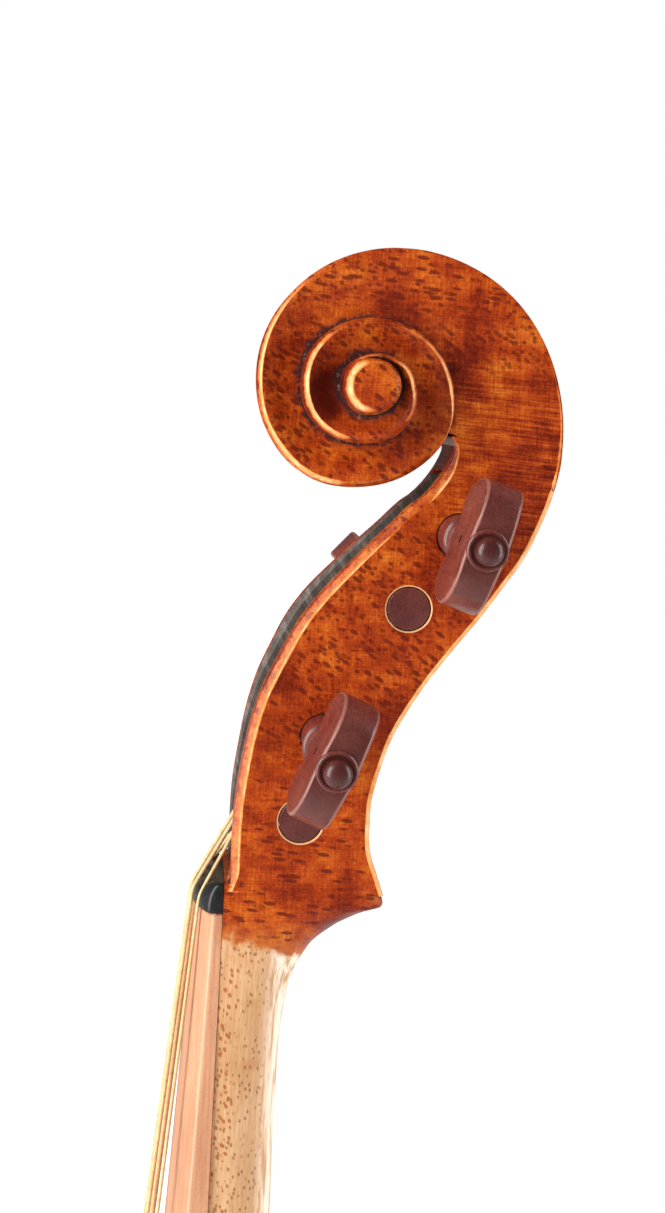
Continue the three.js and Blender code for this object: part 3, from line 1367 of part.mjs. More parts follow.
const [bellySolid, backSolid] = [belly(), back()];
for (const [side, word] of [[1, "treble"], [-1, "bass"]]) {
  place(`belly_${word}`, sideOf(bellySolid, side), "spruce");
  place(`back_${word}`, sideOf(backSolid, side), "varnish");
}
for (const [where, solid] of Object.entries(ribs())) place(`rib_${where}`, solid, "varnish");
for (const [name, solid] of Object.entries(blocks())) place(name, solid, "bareWood");
for (const [face, near, far] of [
  ["belly", ringY[0], bellyPlane + liningHeight],
  ["back", backPlane - liningHeight, ringY[1]],
]) {
  for (const [where, solid] of Object.entries(linings(near, far))) {
    place(`lining_${face}_${where}`, solid, "bareWood");
  }
}
place("bass_bar", bassBar(), "bareWood");
place("sound_post", soundPost(), "bareWood");
nailPlaces().forEach((y, i) => place(`neck_nail_${i + 1}`, nail(y), "iron"));

place("bridge", bridge(), "bridgeWood");
place("tailpiece", tailpiece(), "black");
place("tail_gut", bentTube(tailGutPoints(), tailGutDiameter / 2, 6), "gut");
place("saddle", saddle(), "black");
place("end_button", endButton(), "black");

export default viola;
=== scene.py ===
"""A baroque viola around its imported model: dense meshes made from the same measures, and procedural finishes.

Measures are in millimetres in the head's frame: x to the treble side, y to the back and z up the neck, from
the corner where the nut meets the fingerboard's glue surface. row() turns them into the model's own frame in
metres.
"""

import math

import bmesh
import bpy
import numpy as np
from mathutils import Matrix, Vector
from mathutils.bvhtree import BVHTree
from mathutils.kdtree import KDTree


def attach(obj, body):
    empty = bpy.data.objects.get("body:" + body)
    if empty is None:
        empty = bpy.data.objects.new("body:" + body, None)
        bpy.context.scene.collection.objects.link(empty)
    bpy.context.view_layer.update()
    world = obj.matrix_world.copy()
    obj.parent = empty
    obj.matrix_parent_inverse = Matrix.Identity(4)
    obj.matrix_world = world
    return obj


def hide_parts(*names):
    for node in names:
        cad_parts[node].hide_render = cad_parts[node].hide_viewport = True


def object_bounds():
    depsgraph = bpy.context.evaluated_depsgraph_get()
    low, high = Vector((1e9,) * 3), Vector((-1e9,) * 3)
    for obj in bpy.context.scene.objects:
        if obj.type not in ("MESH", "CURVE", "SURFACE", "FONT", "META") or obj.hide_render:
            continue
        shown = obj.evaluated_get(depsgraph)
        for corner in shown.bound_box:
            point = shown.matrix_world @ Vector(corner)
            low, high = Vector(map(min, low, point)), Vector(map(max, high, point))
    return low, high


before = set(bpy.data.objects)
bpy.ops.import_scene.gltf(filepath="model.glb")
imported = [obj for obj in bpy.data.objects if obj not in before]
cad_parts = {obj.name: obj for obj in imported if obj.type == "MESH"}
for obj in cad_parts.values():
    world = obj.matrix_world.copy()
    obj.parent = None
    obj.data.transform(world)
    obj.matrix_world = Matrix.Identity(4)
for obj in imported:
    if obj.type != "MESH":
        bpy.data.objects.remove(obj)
cad_low, cad_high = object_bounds()

MM = 0.001
BOX_MARGIN = 2e-6
MERGE = 2e-6
RAY_START = 2e-5
ORIGIN = np.array([0.0, 35.0, 89.0])
CAMERA_PLACE = (357.0, -11.247, 98.757)
CAMERA_TARGET = (12.0, 17.786, 60.598)
CAMERA_ROLL = 3.247
CAMERA_LENS = 54.40


def row(points):
    return (np.asarray(points, float) - ORIGIN) * MM


def srgb(red, green, blue):
    """A colour given in screen values from 0 to 255, as the linear colour that a shader takes."""
    parts = [c / 255 for c in (red, green, blue)]
    return tuple(c / 12.92 if c <= 0.04045 else ((c + 0.055) / 1.055) ** 2.4 for c in parts) + (1.0,)


# Camera


def make_camera():
    place, target = Vector(row(CAMERA_PLACE)), Vector(row(CAMERA_TARGET))
    ahead = (target - place).normalized()
    right = ahead.cross(Vector((0, 0, 1))).normalized()
    up = right.cross(ahead)
    roll = math.radians(CAMERA_ROLL)
    across = math.cos(roll) * right + math.sin(roll) * up
    upward = math.cos(roll) * up - math.sin(roll) * right
    data = bpy.data.cameras.new("camera")
    data.lens = CAMERA_LENS
    data.sensor_width = 36
    data.clip_start = 0.01
    data.clip_end = 60
    camera = bpy.data.objects.new("camera", data)
    turned = Matrix((across, upward, -ahead)).transposed().to_4x4()
    camera.matrix_world = Matrix.Translation(place) @ turned
    bpy.context.collection.objects.link(camera)
    bpy.context.scene.camera = camera


make_camera()


# Curves through tables, the same as in the CAD source


def smooth_at(table, at):
    table = np.asarray(table, float)
    keys, values = table[:, 0], table[:, 1]
    at = np.clip(np.asarray(at, float), keys[0], keys[-1])
    last = len(keys) - 1
    i = np.clip(np.searchsorted(keys, at, side="right") - 1, 0, last - 1)
    low, high = np.maximum(i - 1, 0), np.minimum(i + 2, last)
    span = keys[i + 1] - keys[i]
    t = (at - keys[i]) / span
    start = (values[i + 1] - values[low]) / (keys[i + 1] - keys[low]) * span
    end = (values[high] - values[i]) / (keys[high] - keys[i]) * span
    a, b = values[i], values[i + 1]
    return a + start * t + (3 * (b - a) - 2 * start - end) * t**2 + (2 * (a - b) + start + end) * t**3


def mix(a, b, t):
    return a + (b - a) * t


def smoothstep(value, low, high):
    t = np.clip((np.asarray(value, float) - low) / (high - low), 0, 1)
    return t * t * (3 - 2 * t)


def sagitta(radius, half):
    return radius - np.sqrt(np.maximum(radius**2 - np.asarray(half, float) ** 2, 0))


# Meshes


class Soup:
    """Points, faces and a wear value at each point, gathered into one mesh."""

    def __init__(self):
        self.points, self.wear, self.faces, self.total = [], [], [], 0

    def _add(self, points, wear):
        points = np.asarray(points, float).reshape(-1, 3)
        start = self.total
        self.points.append(points)
        self.wear.append(np.broadcast_to(np.asarray(wear, float), (len(points),)))
        self.total += len(points)
        return start

    def grid(self, points, wear=0.0, flip=False, around=False):
        """A grid of points, rows by columns; around joins its last column to its first."""
        points = np.asarray(points, float)
        rows, columns = points.shape[:2]
        if np.ndim(wear) == 2:
            wear = np.asarray(wear, float).reshape(-1)
        start = self._add(points, wear)
        i, j = np.meshgrid(np.arange(rows - 1), np.arange(columns if around else columns - 1))
        i, j = i.T.reshape(-1), j.T.reshape(-1)
        k, m = i + 1, (j + 1) % columns
        quads = np.stack([i * columns + j, i * columns + m, k * columns + m, k * columns + j], 1) + start
        self.faces.extend((quads[:, ::-1] if flip else quads).tolist())

    def polygon(self, points, wear=0.0, flip=False):
        start = self._add(points, wear)
        ring = list(range(start, self.total))
        self.faces.append(ring[::-1] if flip else ring)

    def fan(self, points, wear=0.0, flip=False):
        """A ring filled with triangles about its middle."""
        points = np.asarray(points, float)
        start = self._add(points, wear)
        middle = self._add([points.mean(0)], np.mean(wear))
        for i in range(len(points)):
            face = [start + i, start + (i + 1) % len(points), middle]
            self.faces.append(face[::-1] if flip else face)

    def loft(self, rings, wear=0.0):
        """A closed solid through closed rings of points."""
        rings = np.asarray(rings, float)
        ends = np.asarray(wear, float) if np.ndim(wear) == 2 else np.zeros(rings.shape[:2]) + wear
        self.grid(rings, ends, around=True)
        self.polygon(rings[0], ends[0], flip=True)
        self.polygon(rings[-1], ends[-1])

    def object(self, name):
        points = row(np.concatenate(self.points)) if self.points else np.zeros((0, 3))
        mesh = bpy.data.meshes.new(name)
        mesh.from_pydata(points.tolist(), [], self.faces)
        attribute = mesh.attributes.new("wear", "FLOAT", "POINT")
        attribute.data.foreach_set("value", np.concatenate(self.wear).astype(np.float32))
        tidy(mesh)
        return link(name, mesh)


def link(name, mesh):
    made = bpy.data.objects.new(name, mesh)
    bpy.context.collection.objects.link(made)
    return made


def tidy(mesh):
    """Joins points that coincide, drops flat faces and turns all faces outward."""
    work = bmesh.new()
    work.from_mesh(mesh)
    bmesh.ops.remove_doubles(work, verts=work.verts, dist=MERGE)
    bmesh.ops.dissolve_degenerate(work, edges=work.edges, dist=MERGE)
    bmesh.ops.recalc_face_normals(work, faces=work.faces)
    if work.calc_volume(signed=True) < 0:
        bmesh.ops.reverse_faces(work, faces=work.faces)
    work.to_mesh(mesh)
    work.free()
    mesh.update()


def combine(target, others, operation):
    """Joins other solids to the target, or cuts them out of it, and removes them."""
    for other in others:
        modifier = target.modifiers.new("combine", "BOOLEAN")
        modifier.operation = operation
        modifier.solver = "MANIFOLD"
        modifier.object = other
        bake(target)
        remove(other)
    return target


def bake(target):
    """Applies an object's modifiers to its mesh."""
    graph = bpy.context.evaluated_depsgraph_get()
    graph.update()
    made = bpy.data.meshes.new_from_object(target.evaluated_get(graph))
    old = target.data
    target.modifiers.clear()
    target.data = made
    bpy.data.meshes.remove(old)
    made.name = target.name


def remove(other):
    mesh = other.data
    bpy.data.objects.remove(other)
    bpy.data.meshes.remove(mesh)


def shade(target, angle):
    """Smooth shading, with creases where faces meet at more than an angle."""
    mesh = target.data
    mesh.shade_smooth()
    mesh.set_sharp_from_angle(angle=math.radians(angle))


def coordinates(mesh):
    flat = np.empty(len(mesh.vertices) * 3, np.float32)
    mesh.vertices.foreach_get("co", flat)
    return flat.reshape(-1, 3).astype(float)


def keep_inside(mesh):
    """Brings the few points that lie a hair outside the CAD model's box back onto it."""
    points = np.clip(coordinates(mesh), np.array(cad_low), np.array(cad_high) - BOX_MARGIN)
    mesh.vertices.foreach_set("co", points.astype(np.float32).reshape(-1))
    mesh.update()


def set_value(mesh, name, values):
    attribute = mesh.attributes.get(name) or mesh.attributes.new(name, "FLOAT", "POINT")
    attribute.data.foreach_set("value", np.asarray(values, np.float32))


def carry_wear(target, sources):
    """Gives each point of a combined mesh the wear of the nearest point of the meshes that it came from."""
    points = np.concatenate([s[0] for s in sources])
    values = np.concatenate([s[1] for s in sources])
    tree = KDTree(len(points))
    for i, p in enumerate(points):
        tree.insert(p, i)
    tree.balance()
    found = [tree.find(p)[1] for p in coordinates(target.data)]
    set_value(target.data, "wear", values[found])


def wear_of(target):
    attribute = target.data.attributes["wear"]
    values = np.empty(len(target.data.vertices), np.float32)
    attribute.data.foreach_get("value", values)
    return coordinates(target.data), values


def add_recess(target, reach=4.0, rays=14):
    """Writes how enclosed each point is, from 0 in the open to 1 in a deep corner, by rays cast around it."""
    mesh = target.data
    points = coordinates(mesh)
    normals = np.array([v.normal for v in mesh.vertices], float)
    tree = BVHTree.FromPolygons([v.co for v in mesh.vertices], [p.vertices for p in mesh.polygons])
    golden = math.pi * (3 - math.sqrt(5))
    hemisphere = []
    for k in range(rays):
        up = (k + 0.5) / rays
        out = math.sqrt(1 - up * up)
        hemisphere.append(Vector((out * math.cos(golden * k), out * math.sin(golden * k), up)))
    values = np.zeros(len(points))
    far = reach * MM
    for i, (p, n) in enumerate(zip(points, normals)):
        normal = Vector(n)
        facing = normal.to_track_quat("Z", "Y")
        start = Vector(p) + normal * RAY_START
        hit = 0.0
        for ray in hemisphere:
            near = tree.ray_cast(start, facing @ ray, far)[3]
            if near is not None:
                hit += 1 - near / far
        values[i] = hit / rays
    edges = np.empty(len(mesh.edges) * 2, np.int32)
    mesh.edges.foreach_get("vertices", edges)
    edges = edges.reshape(-1, 2)
    for _ in range(2):
        total, count = values.copy(), np.ones(len(values))
        np.add.at(total, edges[:, 0], values[edges[:, 1]])
        np.add.at(total, edges[:, 1], values[edges[:, 0]])
        np.add.at(count, edges[:, 0], 1)
        np.add.at(count, edges[:, 1], 1)
        values = total / count
    set_value(mesh, "recess", np.clip(values * 1.6, 0, 1))


# Head: outlines as in the CAD source

HEAD_HEIGHT, HEAD_DEPTH = 128.9, 60.4
PEGBOX_HALF, CHEEK_TAPER, CHEEK_THICKNESS = 14.0, 0.041, 5.2
PEGBOX_FOOT, PEGBOX_TOP = 5.0, 93.9
EYE_Y, EYE_Z = 22.3, 102.5
VOLUTE_RADIUS, VOLUTE_HALF = 37.05, 23.2
EYE_RADIUS = 4.9
BACK_FLUTE = 1.5

FRONT_SHARES = [
    (0.05, 0.017), (0.157, 0.018), (0.218, 0.031), (0.287, 0.055), (0.34, 0.088), (0.393, 0.139),
    (0.444, 0.195), (0.484, 0.255), (0.524, 0.329), (0.562, 0.404), (0.591, 0.464), (0.621, 0.523),
    (0.638, 0.568), (0.664, 0.613), (0.691, 0.646), (0.712, 0.659), (0.7285, 0.641),
]
BACK_SHARES = [
    (0.04, 0.508), (0.05, 0.5), (0.073, 0.482), (0.095, 0.464), (0.118, 0.454), (0.163, 0.452),
    (0.185, 0.455), (0.23, 0.477), (0.276, 0.508), (0.322, 0.558), (0.368, 0.619), (0.414, 0.69),
    (0.46, 0.765), (0.507, 0.833), (0.552, 0.896), (0.598, 0.94), (0.643, 0.974), (0.691, 0.997), (0.7285, 1),
]
TROUGH_SHARES = [
    (0.0496, 0.224), (0.093, 0.32), (0.147, 0.348), (0.202, 0.358), (0.272, 0.4), (0.33, 0.462),
    (0.396, 0.55), (0.458, 0.648), (0.512, 0.722), (0.566, 0.774), (0.613, 0.805), (0.648, 0.786),
    (0.667, 0.72), (0.677, 0.635),
]
CHIN_SHARES = [
    (0.0497, 0.499, 0.14), (0.027, 0.513, 0.2), (0.0155, 0.519, 0.3), (0.0105, 0.507, 0.42),
    (0.004, 0.474, 0.5), (-0.0075, 0.43, 0.58), (-0.0195, 0.389, 0.64), (-0.049, 0.315, 0.72),
    (-0.078, 0.275, 0.8), (-0.104, 0.249, 0.85), (-0.14, 0.23, 0.88), (-0.19, 0.2175, 0.9),
    (-0.26, 0.212, 0.9),
]
RADIUS_SHARES = [
    1.123, 1, 0.891, 0.78, 0.694, 0.631, 0.586, 0.5565, 0.551, 0.553, 0.5185, 0.498, 0.4805, 0.4425, 0.3995,
    0.3617, 0.344, 0.3415, 0.343, 0.34, 0.3345, 0.3104, 0.286, 0.2753, 0.2537, 0.2186, 0.2, 0.1727, 0.1592,
    0.155, 0.154, 0.1535, 0.15, 0.1457, 0.1404, 0.1336, 0.127,
]
WIDTH_SHARES = [
    (-30, 0.457), (0, 0.422), (90, 0.345), (180, 0.302), (270, 0.345), (334, 0.461), (360, 0.484),
    (450, 0.565), (540, 0.651), (630, 0.754), (720, 0.862), (810, 0.931), (900, 0.97), (1060, 1),
]


def scaled(shares, key_scale, value_scale):
    return [(k * key_scale, v * value_scale) for k, v in shares]


FRONT = scaled(FRONT_SHARES, HEAD_HEIGHT, HEAD_DEPTH)
BACK = scaled(BACK_SHARES, HEAD_HEIGHT, HEAD_DEPTH)
TROUGH = scaled(TROUGH_SHARES, HEAD_HEIGHT, HEAD_DEPTH)
RADII = [(30 * (i - 1), share * VOLUTE_RADIUS) for i, share in enumerate(RADIUS_SHARES)]
WIDTHS = [(angle, share * VOLUTE_HALF) for angle, share in WIDTH_SHARES]

# The scroll's bevel by angle: its width, and how pale it is: how far its varnish has rubbed off, plus a painted
# highlight on the bevels that face left, which are paler than those facing right and up
BEVEL_WIDTHS = [
    (-26, 0.75), (20, 0.5), (100, 0.6), (130, 0.8), (165, 0.8), (200, 0.8), (225, 1.2), (300, 1.3),
    (334, 1.2), (360, 1.05), (400, 0.95), (470, 1.05), (560, 1.2), (700, 1.05), (760, 0.9), (900, 0.7),
    (1054, 0.6),
]
BEVEL_WEAR_PLUS_HIGHLIGHT = [
    (-26, 1), (-6, 0.95), (12, 0.6), (30, 0.25), (60, 0.12), (100, 0.15), (120, 0.5), (150, 0.95), (250, 1),
    (320, 0.9), (345, 0.95), (385, 0.85), (415, 0.55), (450, 0.4), (480, 0.5), (510, 0.85), (560, 0.9),
    (640, 0.75), (690, 0.55), (715, 0.9), (745, 0.95), (780, 0.5), (840, 0.8), (900, 1), (960, 0.8),
    (1054, 0.5),
]


def cheek_x(z):
    return PEGBOX_HALF - CHEEK_TAPER * np.asarray(z, float)


VOLUTE_START, VOLUTE_STEP, VOLUTE_TURNS = -26.0, 2.4, 3
DISH = 1.5


def volute():
    """The whole spiral: on each side one sheet from the pegbox to the eye, with a wall from turn to turn."""
    soup = Soup()
    turn = round(360 / VOLUTE_STEP)
    columns = VOLUTE_TURNS * turn
    angles = VOLUTE_START + VOLUTE_STEP * np.arange(columns + 1)
    outer, inner = smooth_at(RADII, angles), smooth_at(RADII, angles + 360)
    # The bevel's paleness by angle is wear of its varnish plus a painted highlight on the bevels that face
    # left.
    edge, width, wear_and_highlight = (smooth_at(table, angles) for table in (WIDTHS, BEVEL_WIDTHS, BEVEL_WEAR_PLUS_HIGHLIGHT))
    width = width * mix(0.15, 1, smoothstep(np.abs(angles - 334), 0, 30))
    room = np.maximum(outer - inner, 0.4)
    width = np.minimum(width, 0.45 * room)
    fall = 0.85 * width
    settled = smoothstep(angles, 0, 75)
    radians = np.radians(angles)

    def place(radius, drop, side):
        flat = cheek_x(EYE_Z + radius * np.sin(radians))
        x = mix(flat, edge - drop, settled)
        return np.stack([side * x, EYE_Y + radius * np.cos(radians), EYE_Z + radius * np.sin(radians)], 1)

    face_shares = [0, 0.03, 0.08, 0.15, 0.25, 0.36, 0.48, 0.6, 0.72, 0.83, 0.92, 0.97]
    bevel_steps = [(1, 0, 0.5), (0.86, 0.05, 0.95), (0.62, 0.2, 1), (0.38, 0.42, 0.8), (0.16, 0.72, 0.5),
                   (0, 1.05, 0.3)]
    dish = DISH * smoothstep(room, 0.5, 3)
    last_rows = {}
    for side in (1, -1):
        rows, wear = [], []
        for t in face_shares:
            drop = dish * (1 - smoothstep(t, 0.12, 1.04)) + 0.25 * dish * (1 - t) * t
            rows.append(place(mix(inner, outer - width, t), drop, side))
            wear.append(0 * wear_and_highlight)
        # The bevel rows carry that wear and its painted highlight.
        for out, down, amount in bevel_steps:
            rows.append(place(outer - out * width, down * fall, side))
            wear.append(amount * wear_and_highlight)
        soup.grid(np.array(rows), np.array(wear), flip=side > 0)
        foot = np.array(rows[0])[: columns - turn + 1]
        top = np.array(rows[-1])[turn:]
        wall = [mix(top, foot, t) for t in (0, 0.12, 0.35, 0.6, 0.8, 0.92, 1)]
        wall_top_wear_plus_highlight = np.array(wear[-1])[turn:]
        soup.grid(np.array(wall), np.array([wall_top_wear_plus_highlight * w for w in (1, 0.55, 0.15, 0, 0, 0, 0)]),
                  flip=side > 0)
        centre = np.array([side * (smooth_at(WIDTHS, VOLUTE_START + 720) - 2 * DISH), EYE_Y, EYE_Z])
        end = [r[-1] for r in rows][::-1]
        climb = [w[-1] for w in wall[-2:0:-1]]
        loop = [rows[0][columns - turn], *climb, *end,
                *[rows[0][i] for i in range(columns - 1, columns - turn, -1)]]
        for a, b in zip(loop, loop[1:] + loop[:1]):
            soup.polygon([a, b, centre], flip=side < 0)
        last_rows[side] = (rows, rows[-1], [w[0] for w in wall[1:-1]])

    # The rim between the two edges for the first turn, with two flutes and a ridge between them
    first = slice(0, turn + 1)
    right, left = last_rows[1][1][first], last_rows[-1][1][first]
    reach = outer[first]
    rim = [right]
    shares = [0.97, 0.9, 0.8, 0.68, 0.55, 0.42, 0.3, 0.2, 0.12, 0.06, 0.02]
    flute = {s: math.sin(math.pi * min(max((0.94 - s) / 0.86, 0), 1)) ** 0.8 for s in shares}
    down = np.abs(right[:, 0])
    for s in [*shares, *[-s for s in shares[::-1]]]:
        radius = reach - BACK_FLUTE * flute[abs(s)] * smoothstep(reach, 16, 22)
        rim.append(np.stack([s * down, EYE_Y + radius * np.cos(radians[first]),
                             EYE_Z + radius * np.sin(radians[first])], 1))
    rim.append(left)
    rim_wear = np.zeros((len(rim), turn + 1))
    rim_wear[0] = rim_wear[-1] = 0.8 * wear_and_highlight[first]
    rim_wear[1] = rim_wear[-2] = 0.4 * wear_and_highlight[first]
    soup.grid(np.array(rim), rim_wear, flip=True)
    start = [r[0] for r in last_rows[1][0]]
    start += [r[0] for r in rim[1:-1]]
    start += [r[0] for r in last_rows[-1][0]][::-1]
    end = [*last_rows[-1][2][::-1], *[r[turn] for r in rim][::-1], *last_rows[1][2]]
    soup.polygon([*start, *end])
    return soup.object("volute")


def eye():
    """The eye: a short bar across the scroll with rounded ends, rubbed down most on the left, where a painted
    highlight also makes them paler.
    """
    soup = Soup()
    profile = [(0.0, 20.0), (EYE_RADIUS, 20.0), (EYE_RADIUS, 22.7), (4.85, 23.2), (4.68, 23.62),
               (4.42, 23.98), (4.12, 24.2), (3.85, 24.31), (3.2, 24.36), (1.6, 24.4), (0.0, 24.4)]
    spread = [0, 0.8, 0.75, 0.55, 0.38, 0.22, 0.1, 0, 0, 0, 0]
    wear = [0, 0, 0, 0.35, 0.75, 0.95, 0.85, 0.4, 0, 0, 0]
    angles = np.radians(np.arange(0, 360, 5))
    to_left = smoothstep(np.cos(angles - math.radians(188)), -0.15, 0.6)
    rings, wear_and_highlight = [], []
    for (radius, x), wider, w in zip(profile, spread, wear):
        here = radius + wider * to_left
        rings.append(np.stack([x + 0 * angles, EYE_Y + here * np.cos(angles),
                               EYE_Z + here * np.sin(angles)], 1))
        # Wear round the eye's ends, with a painted highlight making its left side paler.
        wear_and_highlight.append(w * (0.35 + 0.65 * to_left))
    for side in (1, -1):
        turned = [r * np.array([side, 1, 1]) for r in rings[1:-1]]
        soup.grid(np.array(turned), np.array(wear_and_highlight[1:-1]), around=True, flip=side > 0)
        soup.polygon(turned[-1], flip=side < 0)
    soup.grid(np.array([rings[1] * np.array([-1, 1, 1]), rings[1]]), around=True)
    return soup.object("eye_bar")


def slope_at(table, z):
    return (smooth_at(table, z + 0.3) - smooth_at(table, z - 0.3)) / 0.6


FRONT_BEVEL, BACK_BEVEL = 1.3, 0.75
FAR_RIM_PROUD, FAR_RIM_HEIGHT, FAR_RIM_SPAN = 0.95, 58.0, 15.0


def pegbox_blank():
    soup = Soup()
    heights = np.unique(np.concatenate([np.arange(PEGBOX_FOOT, PEGBOX_TOP, 1.3), [6.44, PEGBOX_TOP]]))
    rings, wear = [], []
    across = [0, 0.05, 0.12, 0.22, 0.34, 0.46, 0.58, 0.7, 0.8, 0.88, 0.94, 0.98]
    for z in heights:
        front, back, half = smooth_at(FRONT, z), smooth_at(BACK, z), float(cheek_x(z))
        wide = FRONT_BEVEL * math.hypot(1, slope_at(FRONT, z)) * float(smoothstep(z, 4, 9)) + 0.05
        wide *= 1 - 0.8 * float(smoothstep(z, 86, 93))
        deep = 0.85 * wide / (FRONT_BEVEL * math.hypot(1, slope_at(FRONT, z)) + 0.05)
        cut = min(BACK_BEVEL * math.hypot(1, slope_at(BACK, z)) + 0.02, 1.6)
        flute = BACK_FLUTE * float(smoothstep(z, PEGBOX_FOOT, 22))
        right = [(half - 5.6, front, 0.3), (half - 4.6, front, 0), (half - 1.6, front, 0.05),
                 (half - deep - 0.25, front + 0.02, 0.35), (half - deep * 0.8, front + 0.1 * wide, 0.45),
                 (half - deep * 0.45, front + 0.42 * wide, 0.5),
                 (half - deep * 0.14, front + 0.8 * wide, 0.6), (half, front + wide, 1),
                 (half, front + wide + 0.22, 0.75), (half, front + wide + 0.55, 0.1)]
        low, high = front + wide + 0.9, back - cut - 0.9
        right += [(half, mix(low, high, s), 0) for s in np.linspace(0, 1, 14)]
        right += [(half, back - cut - 0.35, 0.1), (half, back - cut, 0.95),
                  (half - 0.1, back - 0.55 * cut, 1), (half - 0.32, back - 0.2 * cut, 0.9),
                  (half - 0.62, back, 0.45)]
        body = half - 0.62
        for s in across[::-1]:
            dip = math.sin(math.pi * min(max((0.98 - s) / 0.9, 0), 1)) ** 0.8
            right.append((body * s, back - dip * flute, 0))
        right[-1] = (body * 0.02, back, 0)
        proud = FAR_RIM_PROUD * math.exp(-(((z - FAR_RIM_HEIGHT) / FAR_RIM_SPAN) ** 2))
        left = [(-x, y - proud * float(smoothstep(y, front + 4, front)), w) for x, y, w in right[::-1]]
        ring = right + left
        rings.append([(x, y, z) for x, y, w in ring])
        wear.append([w for x, y, w in ring])
    soup.loft(rings, wear)
    return soup.object("pegbox_blank")


NECK_LENGTH, BODY_LENGTH, STOP = 142.0, 405.0, 215.0
BODY_TOP = -NECK_LENGTH
NECK_HALF_NUT, NECK_HALF_BODY = 12.4, 15.5
NECK_DEPTH_NUT, NECK_DEPTH_BODY = 12.0, 13.6
OVERSTAND, RIB_HEIGHT, EDGE_OVERHANG = 12.0, 38.0, 2.8
BELLY_PLANE, BACK_PLANE = OVERSTAND, OVERSTAND + RIB_HEIGHT
RIB_TOP = BODY_TOP - EDGE_OVERHANG
HEEL_TOP, HEEL_CURVE, HEEL_BACK_HALF = BODY_TOP + 9, 29.0, 10.8


def neck_half(z):
    z = float(z)
    if z >= 0:
        return float(cheek_x(z))
    neck = mix(NECK_HALF_NUT, NECK_HALF_BODY, -z / NECK_LENGTH)
    return mix(PEGBOX_HALF, neck, float(smoothstep(-z, 0, 9)))


def neck_blank():
    """Chin, neck and heel as one loft; each section is a rounded half square under a flat front."""
    soup = Soup()
    chin = np.array(CHIN_SHARES)
    curve_top = HEEL_TOP + HEEL_CURVE
    below = [(share * curve_top, mix(NECK_DEPTH_NUT, NECK_DEPTH_BODY, share)) for share in (0.58, 0.42)]
    depth = below + list(zip(chin[::-1, 0] * HEAD_HEIGHT, chin[::-1, 1] * HEAD_DEPTH))
    square = [(z, 0.9) for z, _ in below] + list(zip(chin[::-1, 0] * HEAD_HEIGHT, chin[::-1, 2]))
    low = depth[1][0]
    stations = []
    for z in np.unique(np.concatenate([np.arange(low, 6.4, 0.55), [6.406]]))[::-1]:
        half = neck_half(z)
        stations.append((z, float(smooth_at(depth, z)), half, float(smooth_at(square, z)), half))
    for share in np.linspace(0.44, 0.98, 18):
        z = share * curve_top
        stations.append((z, mix(NECK_DEPTH_NUT, NECK_DEPTH_BODY, share), neck_half(z), 0.9, neck_half(z)))
    for share in np.linspace(0, 1, 22) ** 0.7:
        z = mix(curve_top, HEEL_TOP, share)
        curve = 1 - math.sqrt(max(1 - share * share, 0))
        depth_here = mix(NECK_DEPTH_BODY, BACK_PLANE - 0.1, curve)
        back_half = mix(neck_half(z), HEEL_BACK_HALF, curve)
        stations.append((z, depth_here, neck_half(z), mix(0.9, 0.55, share), back_half))
    end = RIB_TOP + 0.3
    stations.append((end, BACK_PLANE - 0.1, neck_half(end), 0.55, HEEL_BACK_HALF))
    steps = 56
    angles = np.pi * np.arange(steps + 1) / steps
    rings, wear = [], []
    for z, depth_here, half, squareness, back_half in stations:
        deep = np.abs(np.sin(angles)) ** squareness
        deep[0] = deep[-1] = 0
        narrowed = mix(half, back_half, deep)
        x = narrowed * np.sign(np.cos(angles)) * np.abs(np.cos(angles)) ** squareness
        x[steps // 2] = 0
        rings.append(np.stack([x, depth_here * deep, z + 0 * x], 1))
        corner = np.exp(-((np.abs(np.abs(np.cos(angles)) - 0.72) / 0.1) ** 2))
        wear.append(corner * float(smoothstep(z, 3.5, 6.0)))
    soup.loft(rings, wear)
    return soup.object("neck_blank")


def trough_cutter():
    soup = Soup()
    rings = []
    heights = np.unique(np.concatenate([[TROUGH[0][0], TROUGH[-1][0]],
                                        np.arange(TROUGH[0][0] + 0.6, TROUGH[-1][0], 1.3)]))
    for z in heights:
        floor, front = float(smooth_at(TROUGH, z)), float(smooth_at(FRONT, z))
        half = float(cheek_x(z)) - CHEEK_THICKNESS
        deep = max(floor - 1.2, front + 0.6)
        mouth, bed = front + 0.42, max(floor, front + 1.1)
        right = [(half + 3.2, front - 3), (half + 0.35, front - 0.05), (half, mouth),
                 (half, mix(mouth, deep, 0.35)), (half, mix(mouth, deep, 0.7)), (half, deep),
                 (half - 0.4, max(floor - 0.35, front + 0.9)), (half - 1.2, bed), (half * 0.4, bed)]
        left = [(-x, y) for x, y in right[::-1]]
        rings.append([(x, y, z) for x, y in right + left])
    soup.loft(rings)
    return soup.object("trough_cutter")


def lathe_x(soup, profile, y, z, steps):
    """A closed solid turned about an axis along x; the profile runs from end to end as (x, radius)."""
    angles = np.radians(np.linspace(0, 360, steps, endpoint=False))
    soup.loft([np.stack([x + 0 * angles, y + r * np.cos(angles), z + r * np.sin(angles)], 1)
               for x, r in profile])


PEG_END, PEG_HEAD = 4.1, 4.3
PEG_SIDES, HOLE_SIDES = 56, 72
PEG_PLACES = [
    ("c", 0.23, 0.1474, -1, 38), ("a", 0.288, 0.2757, 1, 23), ("g", 0.5375, 0.471, -1, -48),
    ("d", 0.6865, 0.5825, 1, 17.5),
]
PEGS = {name: (y * HEAD_DEPTH, z * HEAD_HEIGHT, side, lean) for name, y, z, side, lean in PEG_PLACES}
PEG_HEAD_SIZES = {"c": 1.0, "a": 0.98, "g": 1.06, "d": 0.98}


def peg_radius(name, x):
    _, z, side, _ = PEGS[name]
    return PEG_END + (PEG_HEAD - PEG_END) / (2 * PEGBOX_HALF) * (x * side + float(cheek_x(z)))


